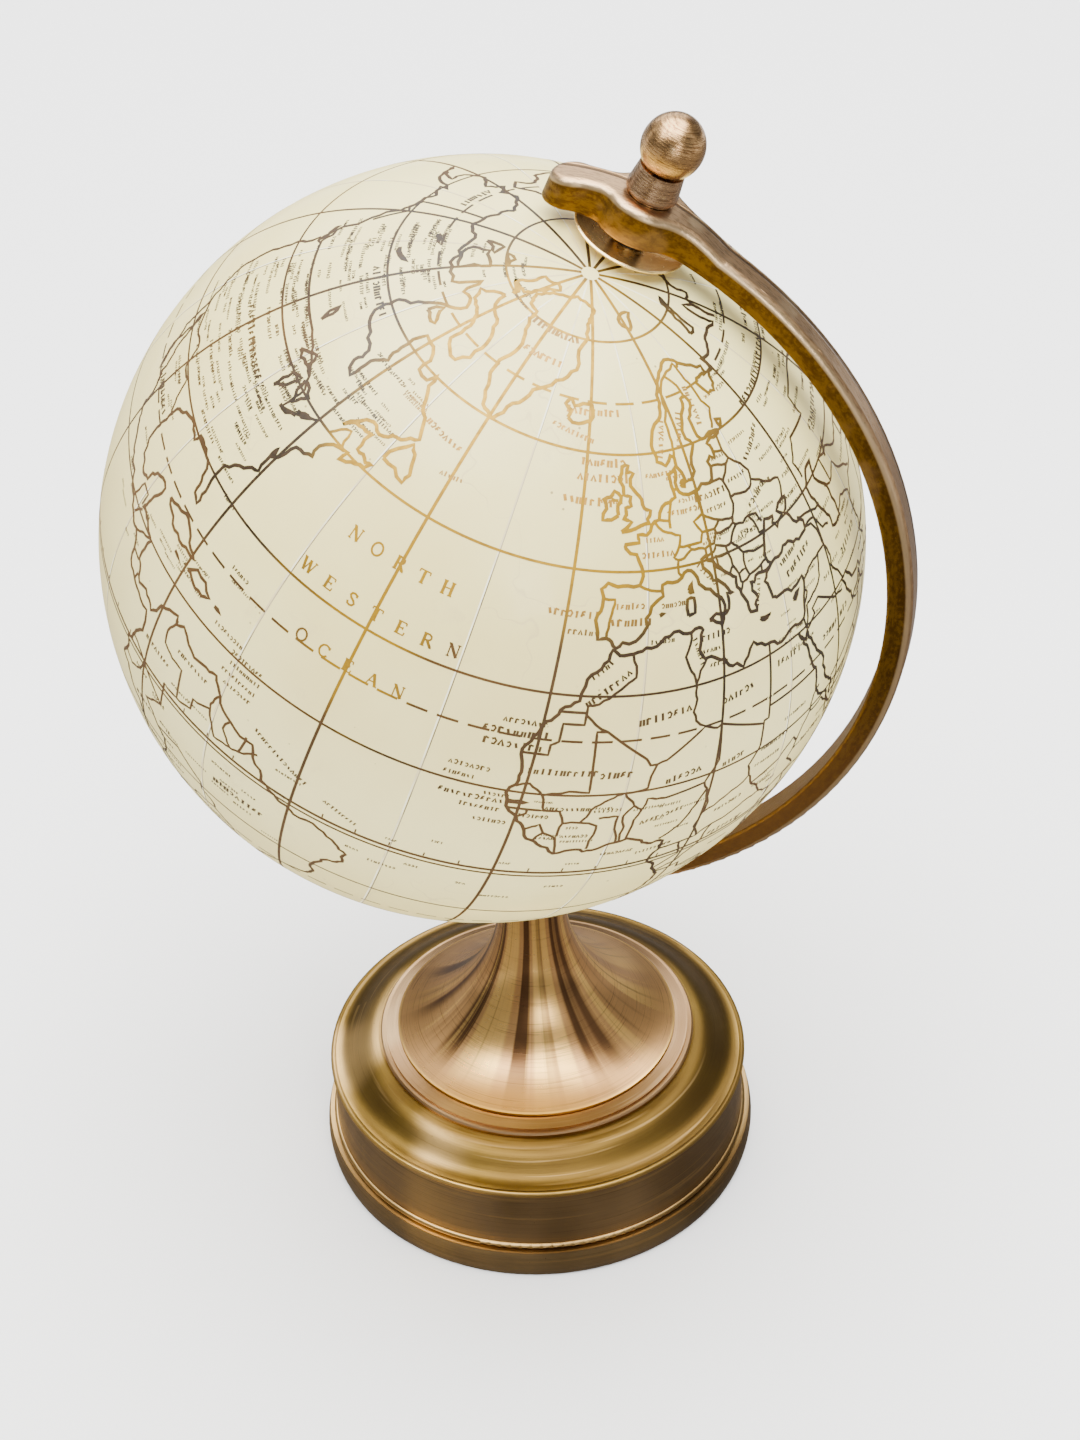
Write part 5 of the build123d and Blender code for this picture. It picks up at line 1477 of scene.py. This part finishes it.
# ---------------------------------------------------------------- the stand
@dataclass
class Stand:
    """The foot, the stem, the arm and their fittings, each dressed where it stands."""

    lay: MapLay
    band_h: float = 8.9 * MM
    bead_h: float = 1.9 * MM
    wall_h: float = 19.0 * MM
    rim_h: float = 1.9 * MM
    arm_t: float = 6.6 * MM
    arm_bow: float = 3.0 * MM
    crown_h: float = 114.6 * MM
    crown_r: float = 56.0 * MM

    def dress(self) -> None:
        """Dresses every part of the stand."""
        self.dress_foot()
        self.dress_stem()
        self.dress_arm()
        self.dress_fittings()
        self.dress_inside()

    @staticmethod
    def _box(node: str) -> tuple[Vector, Vector]:
        """A node's low and high corners."""
        low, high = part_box(node)
        return Vector(low), Vector(high)

    def dress_foot(self) -> None:
        """The stepped brass shell, by its bands from the table up: the dish's dark base colour is painted shade, the
        rim's pale band a painted highlight.
        """
        band_top = self._box("base_shell")[0].z + self.band_h
        wall_low = band_top + self.bead_h
        rim_low = wall_low + self.wall_h
        rim_top = rim_low + self.rim_h
        brass = SpunBrass(
            "antique_brass",
            # The base colour, left on the dish, is painted shade under the ball.
            base=(0.155, 0.094, 0.020),
            dark=(0.085, 0.048, 0.014),
            light=(0.80, 0.52, 0.20),
            reflection_streak=0.7,
            zones=(
                Zone(-0.001, band_top, (0.42, 0.295, 0.15)),
                Zone(band_top, wall_low, (0.40, 0.26, 0.10)),
                Zone(wall_low, rim_low, (0.42, 0.285, 0.15)),
                # The rim's pale band is a painted highlight.
                Zone(rim_low, rim_top, (0.74, 0.47, 0.13)),
            ),
        )
        dress(bpy.data.objects["base_shell"], brass.make())

    def dress_stem(self) -> None:
        """The seat ring and the flared stem."""
        ring = SpunBrass(
            "seat_brass", base=(0.42, 0.25, 0.12), dark=(0.12, 0.065, 0.025), light=(0.86, 0.60, 0.32), roughness=0.22
        )
        dress(bpy.data.objects["seat_ring"], ring.make())
        low, high = self._box("stem")
        flare = FlaredBrass(foot_z=low.z + 0.2 * (high.z - low.z), neck_z=high.z, foot_r=high.y)
        dress(bpy.data.objects["stem"], flare.make())

    def dress_arm(self) -> None:
        """The cast half arm."""
        ahead = Vector((0.0, 1.0, 0.0)).cross(self.lay.spindle)
        middle = self.lay.centre + ahead * self.arm_bow
        outer_r = self._box("arm")[1].x - middle.x
        arm = CastBrass(
            centre=middle,
            inner_r=outer_r - self.arm_t,
            outer_r=outer_r,
            crown_centre=self.lay.centre + self.lay.spindle * (self.crown_h - self.crown_r),
            crown_r=self.crown_r,
        )
        dress(bpy.data.objects["arm"], arm.make())

    def dress_fittings(self) -> None:
        """The finial, the dished caps and the lower nut."""
        for node, tone in (
            ("finial_ball", (0.52, 0.31, 0.135)),
            ("finial_collar", (0.48, 0.31, 0.18)),
            ("finial_washer", (0.56, 0.38, 0.20)),
            ("cap_north", (1.0, 0.74, 0.34)),
            ("cap_south", (1.0, 0.74, 0.34)),
            ("bottom_washer", (0.50, 0.36, 0.22)),
            ("bottom_nut", (0.62, 0.45, 0.28)),
        ):
            low, high = self._box(node)
            middle = (low + high) / 2
            marks = 0.2 if node.startswith("cap") else 0.75
            finish = TurnedBrass(f"{node}_brass", centre=middle, axis=self.lay.spindle, base=tone, marks=marks)
            dress(bpy.data.objects[node], finish.make())

    @staticmethod
    def dress_inside() -> None:
        """The parts that the foot, the stem and the ball hide."""
        finishes = {
            "felt": Plain("felt", (0.022, 0.04, 0.026), (0.045, 0.07, 0.046), 900.0, 0.9, relief=0.0002),
            "board": Plain("fibreboard", (0.34, 0.235, 0.135), (0.26, 0.17, 0.09), 420.0, 0.8),
            "iron": Plain("cast_iron", (0.055, 0.052, 0.05), (0.10, 0.07, 0.05), 240.0, 0.55, 0.8, 0.0002),
            "steel": Plain("zinc_steel", (0.52, 0.52, 0.50), (0.38, 0.37, 0.35), 600.0, 0.3, 1.0),
            "spacer": Plain("spacer_brass", (0.40, 0.29, 0.15), (0.24, 0.16, 0.08), 500.0, 0.3, 1.0),
        }
        made = {key: finish.make() for key, finish in finishes.items()}
        for node, key in (
            ("felt_pad", "felt"),
            ("bottom_board", "board"),
            ("ballast", "iron"),
            ("tie_rod", "steel"),
            ("tie_washer", "steel"),
            ("spring_washer", "steel"),
            ("tie_nut", "steel"),
            ("axle", "steel"),
            ("spacer_north", "spacer"),
            ("spacer_south", "spacer"),
        ):
            dress(bpy.data.objects[node], made[key])


# ---------------------------------------------------------------- the room
@dataclass(frozen=True)
class SoftBox:
    """One soft light and where it stands, seen from the ball."""

    name: str
    way: tuple[float, float, float]
    far: float
    width: float
    height: float
    watts: float


@dataclass(frozen=True)
class Card:
    """A board beside the camera's view that the metal mirrors, itself out of sight."""

    name: str
    way: tuple[float, float, float]
    far: float
    width: float
    height: float
    tone: Colour


@dataclass
class Studio:
    """The pale floor, the soft lights, the dark boards that the metal mirrors, and the camera."""

    aim: Vector
    camera_at: Vector = field(default_factory=lambda: Vector((0.1800, -0.5624, 0.6048)))
    camera_right: Vector = field(default_factory=lambda: Vector((0.96027, 0.27770, -0.02774)))
    camera_ahead: Vector = field(default_factory=lambda: Vector((-0.23696, 0.75878, -0.60671)))
    lens: float = 67.5
    world_light: float = 0.34
    boxes: tuple[SoftBox, ...] = (
        SoftBox("key_box", (0.0, -0.05, 1.0), 3.0, 4.0, 4.0, 540.0),
        SoftBox("sheen_box", (0.498, -0.806, 0.32), 0.95, 0.17, 0.22, 1.9),
        SoftBox("back_box", (-0.24, 0.80, 0.62), 1.6, 1.8, 0.9, 14.0),
        SoftBox("left_box", (-1.0, 0.15, 0.40), 1.0, 0.18, 0.9, 0.6),
        SoftBox("right_box", (1.0, 0.10, 0.45), 1.0, 0.18, 0.9, 0.6),
    )
    cards: tuple[Card, ...] = (
        Card("front_card", (-0.25, -1.0, -0.02), 0.75, 0.30, 0.5, (0.12, 0.105, 0.09)),
        Card("side_card", (0.95, -0.75, 0.05), 0.75, 0.16, 0.7, (0.12, 0.105, 0.09)),
    )
    floor_size: float = 8.0
    floor_tones: tuple[Colour, Colour] = ((0.93, 0.93, 0.93), (0.91, 0.91, 0.91))
    mat_size: float = 2.6
    mat_lift: float = 0.1 * MM
    mat_tone: Colour = (0.12, 0.11, 0.10)

    def build(self) -> None:
        """Sets up the whole room."""
        self.floor()
        self.world()
        for box in self.boxes:
            self.light(box)
        for card in self.cards:
            self.board(card)
        self.mat()
        self.camera()

    def floor(self) -> None:
        """The pale floor."""
        Bencher.clear()
        bpy.ops.mesh.primitive_plane_add(size=self.floor_size, location=(0.0, 0.0, 0.0))
        floor = bpy.context.object
        floor.name = "floor"
        bench = Bench("floor_paper")
        shade = bench.noise(2.0, 2.0)
        dress(floor, bench.finish(Base_Color=bench.mix(shade, *self.floor_tones), Roughness=0.7))

    def world(self) -> None:
        """The white surround."""
        world = bpy.data.worlds.new("surround")
        world.use_nodes = True
        sky = world.node_tree.nodes["Background"].inputs
        sky["Color"].default_value = (1.0, 1.0, 1.0, 1.0)
        sky["Strength"].default_value = self.world_light
        bpy.context.scene.world = world

    def light(self, box: SoftBox) -> None:
        """Adds one soft light, turned to the ball.

        Args:
            box: the light's place, size and strength.
        """
        way = Vector(box.way).normalized()
        lamp = bpy.data.lights.new(box.name, "AREA")
        lamp.shape = "RECTANGLE"
        lamp.size, lamp.size_y = box.width, box.height
        lamp.energy = box.watts
        made = bpy.data.objects.new(box.name, lamp)
        made.location = self.aim + way * box.far
        made.rotation_euler = way.to_track_quat("Z", "Y").to_euler()
        bpy.context.scene.collection.objects.link(made)

    def board(self, card: Card) -> None:
        """Adds one dark board, turned to the ball.

        Args:
            card: the board's place, size and tone.
        """
        way = Vector(card.way).normalized()
        turn = way.to_track_quat("Z", "Y").to_euler()
        Bencher.clear()
        bpy.ops.mesh.primitive_plane_add(size=1.0, location=self.aim + way * card.far, rotation=turn)
        made = bpy.context.object
        made.scale = (card.width, card.height, 1.0)
        self._hide_card(made, card.name, card.tone)

    @staticmethod
    def _hide_card(made: bpy.types.Object, name: str, tone: Colour) -> None:
        """Dresses a board and leaves it only to mirrors.

        Args:
            made: the board.
            name: its name and its finish's.
            tone: its colour.
        """
        made.name = name
        bench = Bench(name)
        dress(made, bench.finish(Base_Color=tone, Roughness=0.9, Specular_IOR_Level=0.0))
        made.visible_camera = False
        made.visible_diffuse = False
        made.visible_shadow = False

    def mat(self) -> None:
        """The dull mat round the foot, seen only in the metal."""
        Bencher.clear()
        bpy.ops.mesh.primitive_plane_add(size=self.mat_size, location=(0.0, 0.0, self.mat_lift))
        self._hide_card(bpy.context.object, "mat_card", self.mat_tone)

    def camera(self) -> None:
        """The camera, in front and to the arm's side, looking down on the ball."""
        right, ahead = self.camera_right.normalized(), self.camera_ahead.normalized()
        up = right.cross(ahead).normalized()
        turn = Matrix((right, up, -ahead)).transposed().to_4x4()
        lens = bpy.data.cameras.new("camera")
        lens.lens = self.lens
        made = bpy.data.objects.new("camera", lens)
        made.matrix_world = Matrix.Translation(self.camera_at) @ turn
        lens.clip_start, lens.clip_end = 0.01, 50.0
        bpy.context.scene.collection.objects.link(made)
        bpy.context.scene.camera = made


def main() -> None:
    """Dresses the stand, papers the ball, prints the map and sets up the room."""
    logging.basicConfig(level=logging.INFO, format="%(name)s: %(message)s")
    joint = frame["joints"][0]
    low, high = (Vector(corner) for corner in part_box("map_gores"))
    lay = MapLay(centre=Vector(joint["pos_m"]), spindle=Vector(joint["axis"]).normalized(), radius=(high.y - low.y) / 2)
    LOG.info("ball of radius %.2f mm", lay.radius / MM)
    Stand(lay).dress()
    ball = GlobeBall(lay, MapPaper(lay.centre).make())
    ball.dress_inside()
    # The foil's painted reflections, as bright patches, and its painted shade, as dark patches.
    foil_reflection_patches = (
        FoilLightPatch(lay.spot(-20, 60), 0.045),
        FoilLightPatch(lay.spot(-40, 68), 0.040),
        FoilLightPatch(lay.spot(-48, 52), 0.034),
        FoilLightPatch(lay.spot(-45, 38), 0.030),
        FoilLightPatch(lay.spot(-45, 26), 0.022),
    )
    foil_shade_patches = (
        FoilLightPatch(lay.spot(22, 38), 0.050),
        FoilLightPatch(lay.spot(38, 30), 0.045),
        FoilLightPatch(lay.spot(-100, 72), 0.060),
        FoilLightPatch(lay.spot(-72, 40), 0.045),
        FoilLightPatch(lay.spot(120, 75), 0.060),
    )
    foil = MapFoil("map_foil", foil_reflection_patches, foil_shade_patches).make()
    # The names' ink gets the first painted reflection patch and all the painted shade patches.
    ink = MapFoil(
        "map_ink",
        painted_reflection_at=foil_reflection_patches[:1],
        painted_shade_at=foil_shade_patches,
        bright=(0.50, 0.26, 0.03),
        copper=(0.105, 0.055, 0.010),
    ).make()
    # The joint finishes: pale with a painted highlight, dark with a painted shadow.
    pale = JointLine("joint_cut_and_highlight", (0.95, 0.90, 0.64), (0.70, 0.58, 0.30)).make()
    dark_joint_shadow_finish = JointLine("joint_dark_and_shadow", (0.10, 0.07, 0.035), (0.42, 0.34, 0.22)).make()
    pieces = [ball.skin(), *PrintedMap(lay, foil, ink, pale, dark_joint_shadow_finish).build()]
    for piece in pieces:
        LOG.info("%s: %d faces", piece.name, len(piece.data.polygons))
    Studio(aim=lay.centre).build()


if __name__ == "__main__":
    main()
